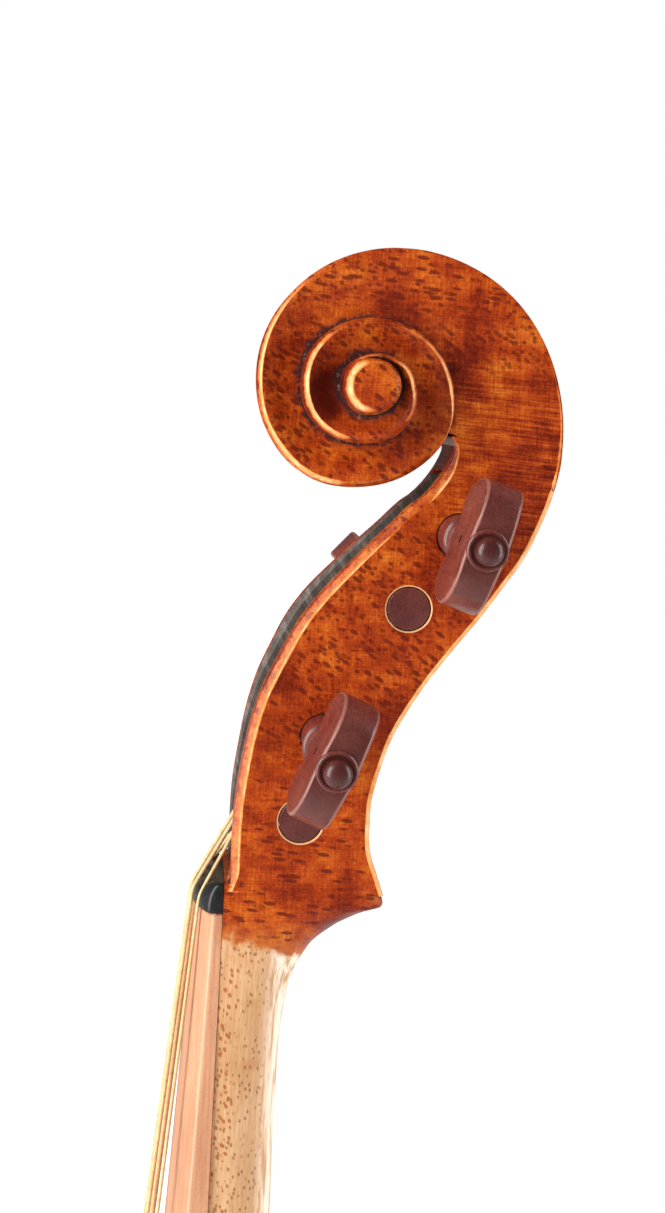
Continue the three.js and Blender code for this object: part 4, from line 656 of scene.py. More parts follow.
def hole_cutter(name):
    """A peg's hole, with a narrow chamfer where the peg's small end comes out."""
    y, z, side, _ = PEGS[name]
    half = float(cheek_x(z))
    small, large = peg_radius(name, -side * half) + 0.24, peg_radius(name, side * half) + 0.2
    profile = [(-half - 1, small + 1.25), (-half + 0.02, small + 0.24), (-half + 0.24, small),
               (half - 0.1, large), (half + 0.02, large + 0.12), (half + 1, large + 1.1)]
    if side < 0:
        profile = [(-x, r) for x, r in profile[::-1]]
    soup = Soup()
    lathe_x(soup, profile, y, z, HOLE_SIDES)
    return soup.object("hole_cutter")


def make_head():
    blanks = [pegbox_blank(), neck_blank(), volute(), eye()]
    sources = [wear_of(b) for b in blanks]
    head = combine(blanks[0], blanks[1:], "UNION")
    head = combine(head, [trough_cutter()], "DIFFERENCE")
    head = combine(head, [hole_cutter(name) for name in PEGS], "DIFFERENCE")
    head.name = head.data.name = "head"
    tidy(head.data)
    keep_inside(head.data)
    carry_wear(head, sources)
    mark_inside(head.data)
    return head


def mark_inside(mesh):
    """Gives the faces inside the trough the second finish, and wears the arris round its mouth."""
    points = coordinates(mesh) / MM + ORIGIN
    x, y, z = np.abs(points[:, 0]), points[:, 1], points[:, 2]
    front, floor, inner = smooth_at(FRONT, z), smooth_at(TROUGH, z), cheek_x(z) - CHEEK_THICKNESS
    along = (z > TROUGH[0][0] - 0.05) & (z < TROUGH[-1][0] + 0.05)
    values = np.empty(len(points), np.float32)
    mesh.attributes["wear"].data.foreach_get("value", values)
    mouth = along & (x > inner - 0.03) & (x < inner + 0.4) & (y > front - 1.05) & (y < front + 0.47)
    values[mouth] = 1.0
    inside = along & (x < inner + 0.05) & (y > front + 0.36) & (y < floor + 0.1)
    far = (points[:, 0] < 0) & along & (x < inner + 1.3) & (y > front - 1.6) & (y < floor + 0.1)
    values[far] = 0.0
    set_value(mesh, "wear", values)
    for face in mesh.polygons:
        corners = list(face.vertices)
        if inside[corners].all() or far[corners].all():
            face.material_index = 1


head = make_head()
add_recess(head)
shade(head, 28)
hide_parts("neck_and_scroll")


def spline(points, count, closed=False):
    """Points spread evenly along a smooth curve through the given ones."""
    points = np.asarray(points, float)
    if closed:
        points = np.concatenate([points[-2:], points, points[:2]])
    else:
        points = np.concatenate([2 * points[:1] - points[1:2], points, 2 * points[-1:] - points[-2:-1]])
    dense = []
    first, last = (1, len(points) - 3) if closed else (1, len(points) - 2)
    for i in range(first, last + (1 if closed else 0)):
        if i + 2 >= len(points):
            break
        a, b, c, d = points[i - 1], points[i], points[i + 1], points[i + 2]
        for t in np.arange(0, 1, 0.04):
            dense.append(0.5 * (2 * b + (c - a) * t + (2 * a - 5 * b + 4 * c - d) * t * t
                                + (3 * b - 3 * c + d - a) * t**3))
    dense.append(dense[0] if closed else points[-2])
    dense = np.array(dense)
    lengths = np.concatenate([[0], np.cumsum(np.linalg.norm(np.diff(dense, axis=0), axis=1))])
    at = np.linspace(0, lengths[-1], count + 1 if closed else count)
    made = np.stack([np.interp(at, lengths, dense[:, k]) for k in range(dense.shape[1])], 1)
    return made[:-1] if closed else made


# Pegs

THUMB_HALF = [
    (13.9, 2.2), (13.4, 4.0), (12.0, 5.7), (11.2, 7.5), (12.3, 9.5), (15.4, 11.1), (20.6, 12.0), (25, 12.1),
    (28.6, 11.3), (31, 9.5), (32.3, 6.9), (32.8, 3.8),
]
THUMB_MIDDLE, THUMB_ROUNDING, THUMB_POINTS = 21.5, 0.75, 132
THUMB_INSETS = [(0, 1), (0.05, 1), (0.16, 1), (0.34, 1), (0.58, 1), (0.85, 1), (1.3, 1), (2.1, 1)]
THUMB_INSETS += [(2.1, 0.8), (2.1, 0.58), (2.1, 0.36), (2.1, 0.15)]
ARRIS_WEAR = np.repeat([[0.3], [0.8], [1], [0.9], [0.45], [0.1], *[[0]] * 6], THUMB_POINTS, 1)


def thumb_piece(soup, out, turn, side, size):
    """The flat head of a peg: two lobes, hollowed a little on both faces, with rounded edges."""
    half = [(o, h * size) for o, h in THUMB_HALF]
    half += [(o, -h) for o, h in half[::-1]]
    outline = spline(half, THUMB_POINTS, closed=True)
    away = outline - np.array([THUMB_MIDDLE, 0])
    size = np.linalg.norm(away, axis=1)

    def thickness(points):
        o, h = points[:, 0], np.abs(points[:, 1])
        half_way = 3.3 + 0.25 * (h / 12.1) ** 2 + 0.4 * np.exp(-((h / 5) ** 2)) * smoothstep(o, 20, 32)
        return half_way + 0.35 * np.exp(-(((o - 13) / 3.5) ** 2) - (h / 5) ** 2)

    sheets = {}
    for face in (1, -1):
        rows = []
        for inset, share in THUMB_INSETS:
            at = np.array([THUMB_MIDDLE, 0]) + away * ((1 - inset / size) * share)[:, None]
            gone = THUMB_ROUNDING - math.sqrt(max(THUMB_ROUNDING**2 - max(THUMB_ROUNDING - inset, 0) ** 2, 0))
            rows.append(np.stack([at[:, 0], face * (thickness(at) - gone), at[:, 1]], 1))
        sheets[face] = rows
    rim = [mix(sheets[1][0], sheets[-1][0], t) for t in (0, 0.3, 0.7, 1)]
    for face in (1, -1):
        soup.grid([turn(out(r)) for r in sheets[face]], ARRIS_WEAR, around=True, flip=face * side > 0)
        soup.fan(turn(out(sheets[face][-1])), flip=face * side < 0)
    soup.grid([turn(out(r)) for r in rim], around=True, flip=side < 0)


def make_peg(name):
    y, z, side, lean = PEGS[name]
    half = float(cheek_x(z))
    tilt = math.radians(lean)

    def out(points):
        points = np.array(points, float)
        points[:, 0] = side * (half + points[:, 0])
        return points

    def turn(points):
        deep, up = points[:, 1], points[:, 2]
        return np.stack([points[:, 0], y + deep * math.cos(tilt) + up * math.sin(tilt),
                         z - deep * math.sin(tilt) + up * math.cos(tilt)], 1)

    def lathe(profile):
        soup = Soup()
        placed = [(side * (half + o), r) for o, r in profile]
        lathe_x(soup, placed if side > 0 else placed[::-1], y, z, PEG_SIDES)
        return soup.object("turned")

    end = -2 * half
    small, large = peg_radius(name, side * (half + end)), peg_radius(name, side * half)
    shaft = [(end + 0.12, small - 0.35), (end + 0.16, small - 0.14), (end + 0.32, small + 0.02),
             (end + 1.2, small + 0.02)]
    shaft += [(o, mix(small + 0.02, large, (o - end) / -end)) for o in np.arange(end + 3, 0, 3)]
    shaft += [(0, large), (8.6, large + 0.08), (9.3, large + 0.02), (9.5, large - 0.1), (9.7, 4.05),
              (9.95, 4.35), (10.4, 4.7), (10.9, 4.86), (11.4, 4.8), (11.75, 4.5), (11.9, 4.2), (12.1, 4.18),
              (12.4, 4.3), (12.8, 4.32), (13.2, 4.1), (13.5, 3.75), (14.2, 3.3), (16.0, 2.6)]
    ring = [(30.4, 3.1), (32.4, 3.72), (33.1, 3.78), (33.5, 3.7), (33.72, 3.45), (33.74, 3.15), (33.6, 2.85),
            (33.5, 2.6), (33.55, 2.25), (33.8, 2.1), (34.2, 2.12), (34.6, 2.34), (35, 2.5), (35.45, 2.54),
            (35.9, 2.42), (36.3, 2.12), (36.65, 1.65), (36.88, 1.1), (36.98, 0.5)]
    soup = Soup()
    thumb_piece(soup, out, turn, side, PEG_HEAD_SIZES[name])
    peg = soup.object("peg_" + name)
    tidy(peg.data)
    parts = [peg, lathe(shaft), lathe(ring)]
    sources = [wear_of(part) for part in parts]
    peg = combine(peg, parts[1:], "UNION")
    peg.name = peg.data.name = "turned_peg_" + name
    tidy(peg.data)
    carry_wear(peg, sources)
    points = coordinates(peg.data) / MM + ORIGIN
    from_axis = np.hypot(points[:, 1] - y, points[:, 2] - z)
    set_value(peg.data, "pip", (side * points[:, 0] - half > 33.2) & (from_axis < 3.0))
    add_recess(peg, reach=2.0, rays=10)
    shade(peg, 26)
    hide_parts("peg_" + name)
    return peg


pegs = {name: make_peg(name) for name in PEGS}

# Strings, windings, nut and fingerboard, with the same lines as in the CAD source

NUT_THICKNESS, NUT_HEIGHT, NUT_ARCH = 6.0, 6.1, 26.0
STRING_SINK, STRING_REST, SEAT, GLUE = 0.25, 0.25, 0.3, 0.1
WINDING_SPACING = 0.45
TWIST_PITCH = 3.2
STRING_SIDES = 14
SLOT_DOWN, SLOT_LENGTH = 5, 7
STRING_TABLE = [
    ("c", 1.3, -0.114, 3, -1), ("g", 1.05, -0.107, 2.6, -1), ("d", 0.9, 0.057, 3, 1), ("a", 0.7, 0.221, 3, 1),
]
BODY_FOOT = BODY_TOP - BODY_LENGTH
BRIDGE_Z = BODY_TOP - STOP
BRIDGE_HEIGHT, BRIDGE_ARCH, BRIDGE_TOP_THICK = 37.6, 42.0, 1.9
TAIL_LENGTH, TAIL_THICK, TAIL_FOOT_UP = 122.0, 5.0, 12.0
SADDLE_HEIGHT = 9.4
TAIL_GUT = 1.9
TAIL_TOP_Z = BODY_FOOT + TAIL_FOOT_UP + TAIL_LENGTH
SADDLE_TOP_Y = OVERSTAND - SADDLE_HEIGHT


class String:
    def __init__(self, place, name, diameter, share, loops, away):
        self.name, self.loops, self.away = name, loops, away
        self.diameter, self.radius = diameter, diameter / 2
        self.nut_x, self.bridge_x, self.tail_x = place * 5.4, place * 12.4, place * 9.6
        self.wind_x = share * PEGBOX_HALF
        self.y, self.z, self.side, self.lean = PEGS[name]
        self.pitch = diameter + WINDING_SPACING
        self.wind_end = self.wind_x + away * self.pitch * loops
        self.turn_radius = max(peg_radius(name, self.wind_x),
                               peg_radius(name, self.wind_end)) + SEAT + self.radius
        self.exit = np.array([self.nut_x, nut_top(self.nut_x) + STRING_SINK + NUT_THICKNESS * 0.12,
                              NUT_THICKNESS * 0.72])
        self.rest = self.find_rest()
        dy, dz = self.rest[1] - self.y, self.rest[2] - self.z
        self.start = math.atan2(dz, dy) - math.acos(self.turn_radius / math.hypot(dy, dz))

    def find_rest(self):
        under_y, under_z = PEGS["a"][:2]
        if self.z <= under_z:
            return self.exit
        clear = peg_radius("a", 0) + self.radius + STRING_REST
        dy, dz = under_y - self.exit[1], under_z - self.exit[2]
        angle = math.atan2(dy, dz) - math.asin(clear / math.hypot(dy, dz))
        share = (under_z - self.exit[2]) / (self.z - self.exit[2])
        x = mix(self.nut_x, self.wind_x, share)
        return np.array([x, under_y - clear * math.cos(angle), under_z + clear * math.sin(angle)])

    def on_peg(self, turned, x, radius=None):
        radius = self.turn_radius if radius is None else radius
        angle = self.start - 2 * math.pi * turned
        return [x, self.y + radius * math.cos(angle), self.z + radius * math.sin(angle)]


def nut_top(x):
    return -(NUT_HEIGHT - float(sagitta(NUT_ARCH, abs(x))))


def bridge_top(x):
    return -(BRIDGE_HEIGHT - float(sagitta(BRIDGE_ARCH, abs(x))))


def tail_line(z):
    return mix(SADDLE_TOP_Y - TAIL_GUT, -BRIDGE_HEIGHT, (z - BODY_FOOT) / (BRIDGE_Z - BODY_FOOT))


strings = [String(i - 1.5, *entry) for i, entry in enumerate(STRING_TABLE)]


def tube(soup, points, radius, sides):
    """A round tube along points; each section turns as little as it can from the one before."""
    points = np.asarray(points, float)
    ahead = np.gradient(points, axis=0)
    ahead /= np.linalg.norm(ahead, axis=1)[:, None]
    side = np.array([1.0, 0, 0]) if abs(ahead[0][0]) < 0.9 else np.array([0, 1.0, 0])
    angles = 2 * np.pi * (np.arange(sides) + 0.5) / sides
    rings = []
    for p, d in zip(points, ahead):
        side = side - d * np.dot(side, d)
        side /= np.linalg.norm(side)
        other = np.cross(d, side)
        rings.append(p + radius * (np.cos(angles)[:, None] * side + np.sin(angles)[:, None] * other))
    soup.loft(rings)


def rounded(points, cut, steps=5):
    """A line of points with each bend turned into a short curve that starts at most a cut away from it."""
    points = np.asarray(points, float)
    made = [points[0]]
    for a, b, c in zip(points, points[1:], points[2:]):
        before, after = np.linalg.norm(a - b), np.linalg.norm(c - b)
        p, q = b + (a - b) * min(cut / before, 0.45), b + (c - b) * min(cut / after, 0.45)
        for t in np.linspace(0, 1, steps):
            made.append((1 - t) ** 2 * p + 2 * t * (1 - t) * b + t * t * q)
    made.append(points[-1])
    return np.array(made)


def dense(points, step):
    """The same line with more points on its long stretches."""
    made = [points[0]]
    for a, b in zip(points, points[1:]):
        count = max(1, math.ceil(np.linalg.norm(b - a) / step))
        made += [mix(a, b, (k + 1) / count) for k in range(count)]
    return np.array(made)


def string_line(s):
    """From the knot under the tailpiece to the point where the string meets its peg."""
    end = np.array(s.on_peg(0, s.wind_x))
    sunk = s.radius - STRING_SINK
    slot_z = TAIL_TOP_Z - SLOT_DOWN
    under = tail_line(slot_z - SLOT_LENGTH) + TAIL_THICK / 2
    front = TAIL_THICK / 2 + s.radius + GLUE
    points = [
        (s.tail_x, under + 1.5, slot_z - SLOT_LENGTH * 0.62),
        (s.tail_x, tail_line(slot_z) - front, slot_z - SLOT_LENGTH * 0.3),
        (s.tail_x, tail_line(TAIL_TOP_Z) - front, TAIL_TOP_Z + GLUE),
        (s.bridge_x, bridge_top(s.bridge_x) - sunk + 0.03 * NUT_THICKNESS, BRIDGE_Z - BRIDGE_TOP_THICK),
        (s.bridge_x, bridge_top(s.bridge_x) - sunk, BRIDGE_Z + BRIDGE_TOP_THICK),
        (s.nut_x, nut_top(s.nut_x) - sunk, 0),
        (s.nut_x, nut_top(s.nut_x) - sunk + NUT_THICKNESS * 0.05, NUT_THICKNESS * 0.4),
        tuple(s.exit),
    ]
    if s.rest is not s.exit:
        points.append(tuple(s.rest))
    points.append(tuple(end))
    return points


def mark_twist(made, line):
    """Writes the phase of a gut string's twist at each point of its mesh."""
    mesh = made.data
    points = coordinates(mesh) / MM + ORIGIN
    line = dense(np.asarray(line, float), 4.0)
    run = np.concatenate([[0], np.cumsum(np.linalg.norm(np.diff(line, axis=0), axis=1))])
    tree = KDTree(len(line))
    for i, p in enumerate(line):
        tree.insert(p, i)
    tree.balance()
    phase = np.zeros(len(points))
    for i, p in enumerate(points):
        k = tree.find(p)[1]
        a, b = line[max(k - 1, 0)], line[min(k + 1, len(line) - 1)]
        d = (b - a) / np.linalg.norm(b - a)
        off = p - line[k]
        phase[i] = (run[k] + float(np.dot(off, d))) / TWIST_PITCH
    set_value(mesh, "along", phase)


def make_string(s):
    soup = Soup()
    line = dense(rounded(string_line(s), 1.0), 6.0)
    tube(soup, line, s.radius, STRING_SIDES)
    made = soup.object("gut_string_" + s.name)
    knot = Soup()
    place = np.array(string_line(s)[0])
    turns = np.linspace(0, 2 * math.pi * 1.7, 40)
    curl = np.stack([place[0] + 0.95 * np.cos(turns), place[1] - 0.5 + 1.1 * turns / turns[-1],
                     place[2] + 0.95 * np.sin(turns)], 1)
    tube(knot, curl, 0.55, 8)
    made = combine(made, [knot.object("knot")], "UNION")
    made.name = made.data.name = "gut_string_" + s.name
    mark_twist(made, line)
    shade(made, 50)
    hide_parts("string_" + s.name)
    return made


def make_winding(s):
    """The string round its peg, from where the straight string meets it to a hole in the peg."""
    steps = round(s.loops * 30)
    points = [s.on_peg(s.loops * i / steps, mix(s.wind_x, s.wind_end, i / steps)) for i in range(steps + 1)]
    step = s.loops / steps
    drift = (s.wind_end - s.wind_x) / steps
    for k, share in enumerate((0.97, 0.88, 0.72, 0.52, 0.3)):
        radius = s.turn_radius * share
        points.append(s.on_peg(s.loops + step * (k + 1) * 0.8, s.wind_end + drift * (k + 1) * 0.6, radius))
    lead = (np.array(s.on_peg(0, s.wind_x)) - s.rest)
    lead /= np.linalg.norm(lead)
    points = [np.array(points[0]) - lead * 0.25, *points]
    soup = Soup()
    tube(soup, points, s.radius, STRING_SIDES)
    made = soup.object("gut_winding_" + s.name)
    mark_twist(made, points)
    shade(made, 50)
    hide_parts("winding_" + s.name)
    return made


gut_strings = {s.name: make_string(s) for s in strings}
gut_windings = {s.name: make_winding(s) for s in strings}


def groove_cutters():
    made = []
    for s in strings:
        points = string_line(s)[-6 if s.rest is not s.exit else -5:]
        points = [p for p in points if -3 < p[2] < 40]
        start = (s.nut_x, nut_top(s.nut_x) - (s.radius - STRING_SINK), -3)
        soup = Soup()
        line = [np.array(start), *[np.array(p) for p in points if p[2] >= 0][:4]]
        tube(soup, rounded(line, 0.8), s.radius + 0.08, 16)
        made.append(soup.object("groove"))
    return made


def make_nut():
    """The nut: a quarter round of black wood with softened ends and a groove for each string."""
    soup = Soup()
    half = NECK_HALF_NUT - GLUE
    profile = [(0, 0.0), (0, 0.5), (0, 0.9), (0.03, 0.985), (0.1, 1.0)]
    profile += [(0.1 + 0.9 * math.sin(a), 0.3 + 0.7 * math.cos(a)) for a in np.radians(np.arange(8, 91, 8.2))]
    profile += [(1.0, 0.22), (1.0, 0.1), (1.0, 0.0)]
    rings = []
    ends = [0, 0.08, 0.25, 0.5, 0.8, 1.15]
    inward = {e: 1.15 - math.sqrt(max(1.15**2 - (1.15 - e) ** 2, 0)) for e in ends}
    xs = [-half + e for e in ends] + list(np.linspace(-half + 2, half - 2, 31))
    xs += [half - e for e in ends[::-1]]
    for x in xs:
        high = -nut_top(x)
        cut = 0.55 * inward.get(round(half - abs(x), 6), 0.0)
        ring = []
        for along, up in profile:
            z = GLUE + along * (NUT_THICKNESS - GLUE)
            y = -max(up * (high - cut), GLUE)
            ring.append((x, y, z - cut * 0.7 * along))
        rings.append(ring)
    soup.loft(rings)
    nut = soup.object("ebony_nut")
    nut = combine(nut, groove_cutters(), "DIFFERENCE")
    nut.name = nut.data.name = "ebony_nut"
    tidy(nut.data)
    shade(nut, 40)
    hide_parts("nut")
    return nut


nut = make_nut()

BOARD_LENGTH, BOARD_HALF_END = 240.0, 20.5
BOARD_CREST_NUT, BOARD_CREST_END, BOARD_SCOOP = 5.3, 19.6, 1.1
BOARD_ARCH_NUT, BOARD_ARCH_END, BOARD_EDGE_END, BOARD_SHELL = 26.0, 38.0, 4.0, 6.5


def make_fingerboard():
    soup = Soup()
    rings, wear = [], []
    for t in np.unique(np.concatenate([[0, 0.0015, 0.004], np.linspace(0.01, 0.99, 60), [0.996, 0.9985, 1]])):
        z = -t * BOARD_LENGTH
        half = mix(NECK_HALF_NUT, BOARD_HALF_END, t)
        arch = mix(BOARD_ARCH_NUT, BOARD_ARCH_END, t)
        crest = -(mix(BOARD_CREST_NUT, BOARD_CREST_END, t) - 4 * BOARD_SCOOP * t * (1 - t))
        beyond = max(-z - NECK_LENGTH, 0) / (BOARD_LENGTH - NECK_LENGTH)
        edge = crest + float(sagitta(arch, half))
        edge_under = mix(-GLUE, edge + BOARD_EDGE_END, beyond)
        hollow = mix(-GLUE, crest + BOARD_SHELL, min(beyond * 1.6, 1))
        end = min(t, 1 - t) * BOARD_LENGTH
        soft = 0.5 - math.sqrt(max(0.25 - max(0.5 - end, 0) ** 2, 0))
        top = []
        for share in np.linspace(0, 1, 15):
            x = share * (half - 0.6)
            top.append((x, crest + float(sagitta(arch, x)) + soft, 0))
        top += [(half - 0.3, edge + 0.06 + soft, 0.5), (half - 0.08, edge + 0.28 + soft, 0.8),
                (half - soft, edge + 0.62 + soft, 0.4)]
        low = max(edge_under, edge + 0.8 + soft)
        top += [(half - soft, mix(edge + 0.62 + soft, low, s), 0) for s in (0.3, 0.6, 0.9, 1)]
        under = [(0.8 * half, low), (0.6 * half, mix(low, hollow, 0.5)),
                 (0.4 * half, mix(low, hollow, 0.85)), (0.2 * half, mix(low, hollow, 0.97)),
                 (0, hollow)]
        right = top + [(x, max(y, crest + 1), 0) for x, y in under]
        left = [(-x, y, w) for x, y, w in right[1:-1][::-1]]
        rings.append([(x, y, z) for x, y, w in right + left])
        wear.append([w for x, y, w in right + left])
    soup.loft(rings, wear)
    board = soup.object("maple_fingerboard")
    shade(board, 30)
    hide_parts("fingerboard")
    return board


board = make_fingerboard()


# Belly and back: the outline and arching of the CAD source on a finer grid, with each point's way to the edge

EDGE, PLATE, BELLY_ARCH, BACK_ARCH, BORDER = 4.0, 3.2, 17.0, 16.5, 11.0
UPPER, WAIST, LOWER = 96.0, 66.0, 120.0
OUTLINE = [
    (UPPER, 24, [(0, 0), (0.56, 0), (1, 0.072), (1, 0.192)]),
    (UPPER, 15, [(1, 0.192), (1, 0.255), (0.83, 0.277), (0.835, 0.312)]),
    (UPPER, 12, [(0.835, 0.312), (0.838, 0.326), (0.872, 0.34), (0.925, 0.3445)]),
    (WAIST, 15, [(1.325, 0.361), (1.14, 0.357), (1, 0.395), (1, 0.459)]),
    (WAIST, 18, [(1, 0.459), (1, 0.531), (1.2, 0.594), (1.59, 0.6)]),
    (LOWER, 12, [(0.897, 0.617), (0.846, 0.624), (0.833, 0.634), (0.838, 0.65)]),
    (LOWER, 18, [(0.838, 0.65), (0.85, 0.685), (1, 0.716), (1, 0.8)]),
    (LOWER, 27, [(1, 0.8), (1, 0.918), (0.567, 1), (0, 1)]),
]
RISE = [(0, 86.4), (76.95, 84.48), (186.3, 59.52), (324, 103.68), (405, 101.76)]
GRID, INNER_GRID, JOINT = 1.6, 3.2, 0.002
BUTTON_RADIUS, NECK_NOTCH, SADDLE_NOTCH = 11.5, (15.8, 2.8), (17.1, 6.6)
HOLE_EYES = [((0.235, 0.842), 3.9), ((0.45, 1.135), 5.0)]
HOLE_STEM = [(0.245, 0.806, 0.25), (0.29, 0.792, 0.5), (0.325, 0.812, 0.9), (0.338, 0.87, 1),
             (0.345, 0.965, 1.05), (0.352, 1.06, 1), (0.367, 1.128, 0.9), (0.402, 1.171, 0.5),
             (0.447, 1.168, 0.25)]
HOLE_WIDTH = 6.4
FLUTE_DROP, FLUTE_INSET = 0.9, 8.0


def body_outline():
    points = [(0.0, BODY_TOP)]
    for half, steps, curve in OUTLINE:
        a, b, c, d = (np.array((x * half, BODY_TOP - z * BODY_LENGTH)) for x, z in curve)
        for t in np.linspace(0, 1, steps + 1):
            here = a * (1 - t) ** 3 + 3 * b * t * (1 - t) ** 2 + 3 * c * t * t * (1 - t) + d * t**3
            if np.hypot(*(here - points[-1])) > 0.1:
                points.append(here)
    treble = np.array(points)
    return np.concatenate([treble, (treble[1:-1] * (-1, 1))[::-1]])


BODY_OUTLINE = body_outline()


def edge_distance(x, z):
    """How far each point lies inside the body's edge, and 0 outside it."""
    x, z = np.asarray(x, float), np.asarray(z, float)
    least, inside = np.full(x.shape, np.inf), np.zeros(x.shape, bool)
    for a, b in zip(BODY_OUTLINE, np.roll(BODY_OUTLINE, -1, 0)):
        d = b - a
        t = np.clip(((x - a[0]) * d[0] + (z - a[1]) * d[1]) / (d @ d), 0, 1)
        least = np.minimum(least, np.hypot(x - a[0] - t * d[0], z - a[1] - t * d[1]))
        if a[1] != b[1]:
            inside ^= ((a[1] > z) != (b[1] > z)) & (x < a[0] + (z - a[1]) * d[0] / d[1])
    return np.where(inside, least, 0.0)


def plate_height(x, z, arch):
    inside = edge_distance(x, z)
    fluted = EDGE - FLUTE_DROP * smoothstep(inside, 0, FLUTE_INSET)
    wide = smooth_at(RISE, BODY_TOP - z)
    return mix(fluted, arch, smoothstep((inside - FLUTE_INSET) / (wide - FLUTE_INSET), 0, 1)), inside


def height_solid(step, arch, plane, outward, floor, hollow=False):
    """The space between a flat plane and the arching, over the treble half."""
    xs = np.arange(JOINT if not hollow else -1.0, LOWER + 2, step)
    zs = np.arange(BODY_TOP - BODY_LENGTH - 2, BODY_TOP + 2, step)
    z, x = np.meshgrid(zs, xs, indexing="ij")
    high, inside = plate_height(x, z, arch)
    if hollow:
        high = np.where(inside < BORDER, -1.0, np.maximum(high - PLATE, -1.0))
    outer = np.stack([x, plane + outward * high, z], 2)
    inner = np.stack([x, plane + outward * floor + 0 * z, z], 2)
    soup = Soup()
    soup.grid(outer)
    soup.grid(inner, flip=True)
    for a, b in ((outer[0], inner[0]), (inner[-1], outer[-1]), (inner[:, 0], outer[:, 0]),
                 (outer[:, -1], inner[:, -1])):
        soup.grid(np.stack([a, b]))
    return soup.object("height_solid")


def prism(outline, near, far):
    """A flat outline in x and z, as a solid between two depths."""
    soup = Soup()
    soup.loft([[(x, y, z) for x, z in outline] for y in (near, far)])
    return soup.object("prism")


def block(low, high):
    corners = [(low[0], low[2]), (high[0], low[2]), (high[0], high[2]), (low[0], high[2])]
    return prism(corners, low[1], high[1])


def sound_hole(near, far):
    def place(share):
        return np.array((share[0] * LOWER, BODY_TOP - share[1] * STOP))

    turns = np.radians(np.arange(0, 360, 7.5))
    made = [prism([place(at) + radius * np.array((math.cos(a), math.sin(a))) for a in turns], near, far)
            for at, radius in HOLE_EYES]
    line = spline([(*place(share), share[2]) for share in HOLE_STEM], 49)
    ahead = np.gradient(line[:, :2], axis=0)
    ahead /= np.linalg.norm(ahead, axis=1)[:, None]
    aside = np.stack([-ahead[:, 1], ahead[:, 0]], 1) * (line[:, 2:] * HOLE_WIDTH / 2)
    made.append(prism(np.concatenate([line[:, :2] + aside, (line[:, :2] - aside)[::-1]]), near, far))
    return made


def make_plate(name, arch, plane, outward):
    """The treble half of a plate, and the bass half as its mirror image."""
    plate = height_solid(GRID, arch, plane, outward, 0.0)
    reach = sorted((plane - outward, plane + outward * (arch + 2)))
    combine(plate, [prism(BODY_OUTLINE, *reach)], "INTERSECT")
    hollow = height_solid(INNER_GRID, arch, plane, outward, -2.0, hollow=True)
    combine(plate, [hollow], "DIFFERENCE")
    near, far = BELLY_PLANE - EDGE - 1, BELLY_PLANE + 1
    if outward < 0:
        foot = BODY_TOP - BODY_LENGTH
        combine(plate, [block((-1, near, BODY_TOP - NECK_NOTCH[1]), (NECK_NOTCH[0], far, BODY_TOP + 1))],
                "DIFFERENCE")
        combine(plate, [block((-1, near, foot - 1), (SADDLE_NOTCH[0], far, foot + SADDLE_NOTCH[1]))],
                "DIFFERENCE")
        combine(plate, sound_hole(plane - arch - 1, plane + 1), "DIFFERENCE")
    else:
        arc = [(BUTTON_RADIUS * math.cos(a), BODY_TOP - 1 + BUTTON_RADIUS * math.sin(a))
               for a in np.linspace(0, math.pi / 2, 25)]
        combine(plate, [prism([(JOINT, BODY_TOP - 1), *arc[:-1], (JOINT, arc[-1][1])], plane, plane + EDGE)],
                "UNION")
    mesh = plate.data
    tidy(mesh)
    keep_inside(mesh)
    points = coordinates(mesh) / MM + ORIGIN
    set_value(mesh, "inset", edge_distance(points[:, 0], points[:, 2]))
    plate.name = mesh.name = name + "_treble_plate"
    other = link(name + "_bass_plate", mesh.copy())
    other.data.transform(Matrix.Scale(-1, 4, (1, 0, 0)))
    other.data.flip_normals()
    for made, side in ((plate, "treble"), (other, "bass")):
        shade(made, 35)
        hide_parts(f"{name}_{side}")
    return plate, other


bellies = make_plate("belly", BELLY_ARCH, BELLY_PLANE, -1)
backs = make_plate("back", BACK_ARCH, BACK_PLANE, 1)


# Finishes

LIGHT_GOLD, GOLD, ORANGE = (206, 124, 44), (182, 86, 20), (156, 57, 12)
RED_BROWN, DEEP_BROWN, WORN_AND_HIGHLIGHT_ORANGE, OLD_DIRT = (121, 35, 8), (78, 17, 6), (214, 122, 56), (40, 17, 15)


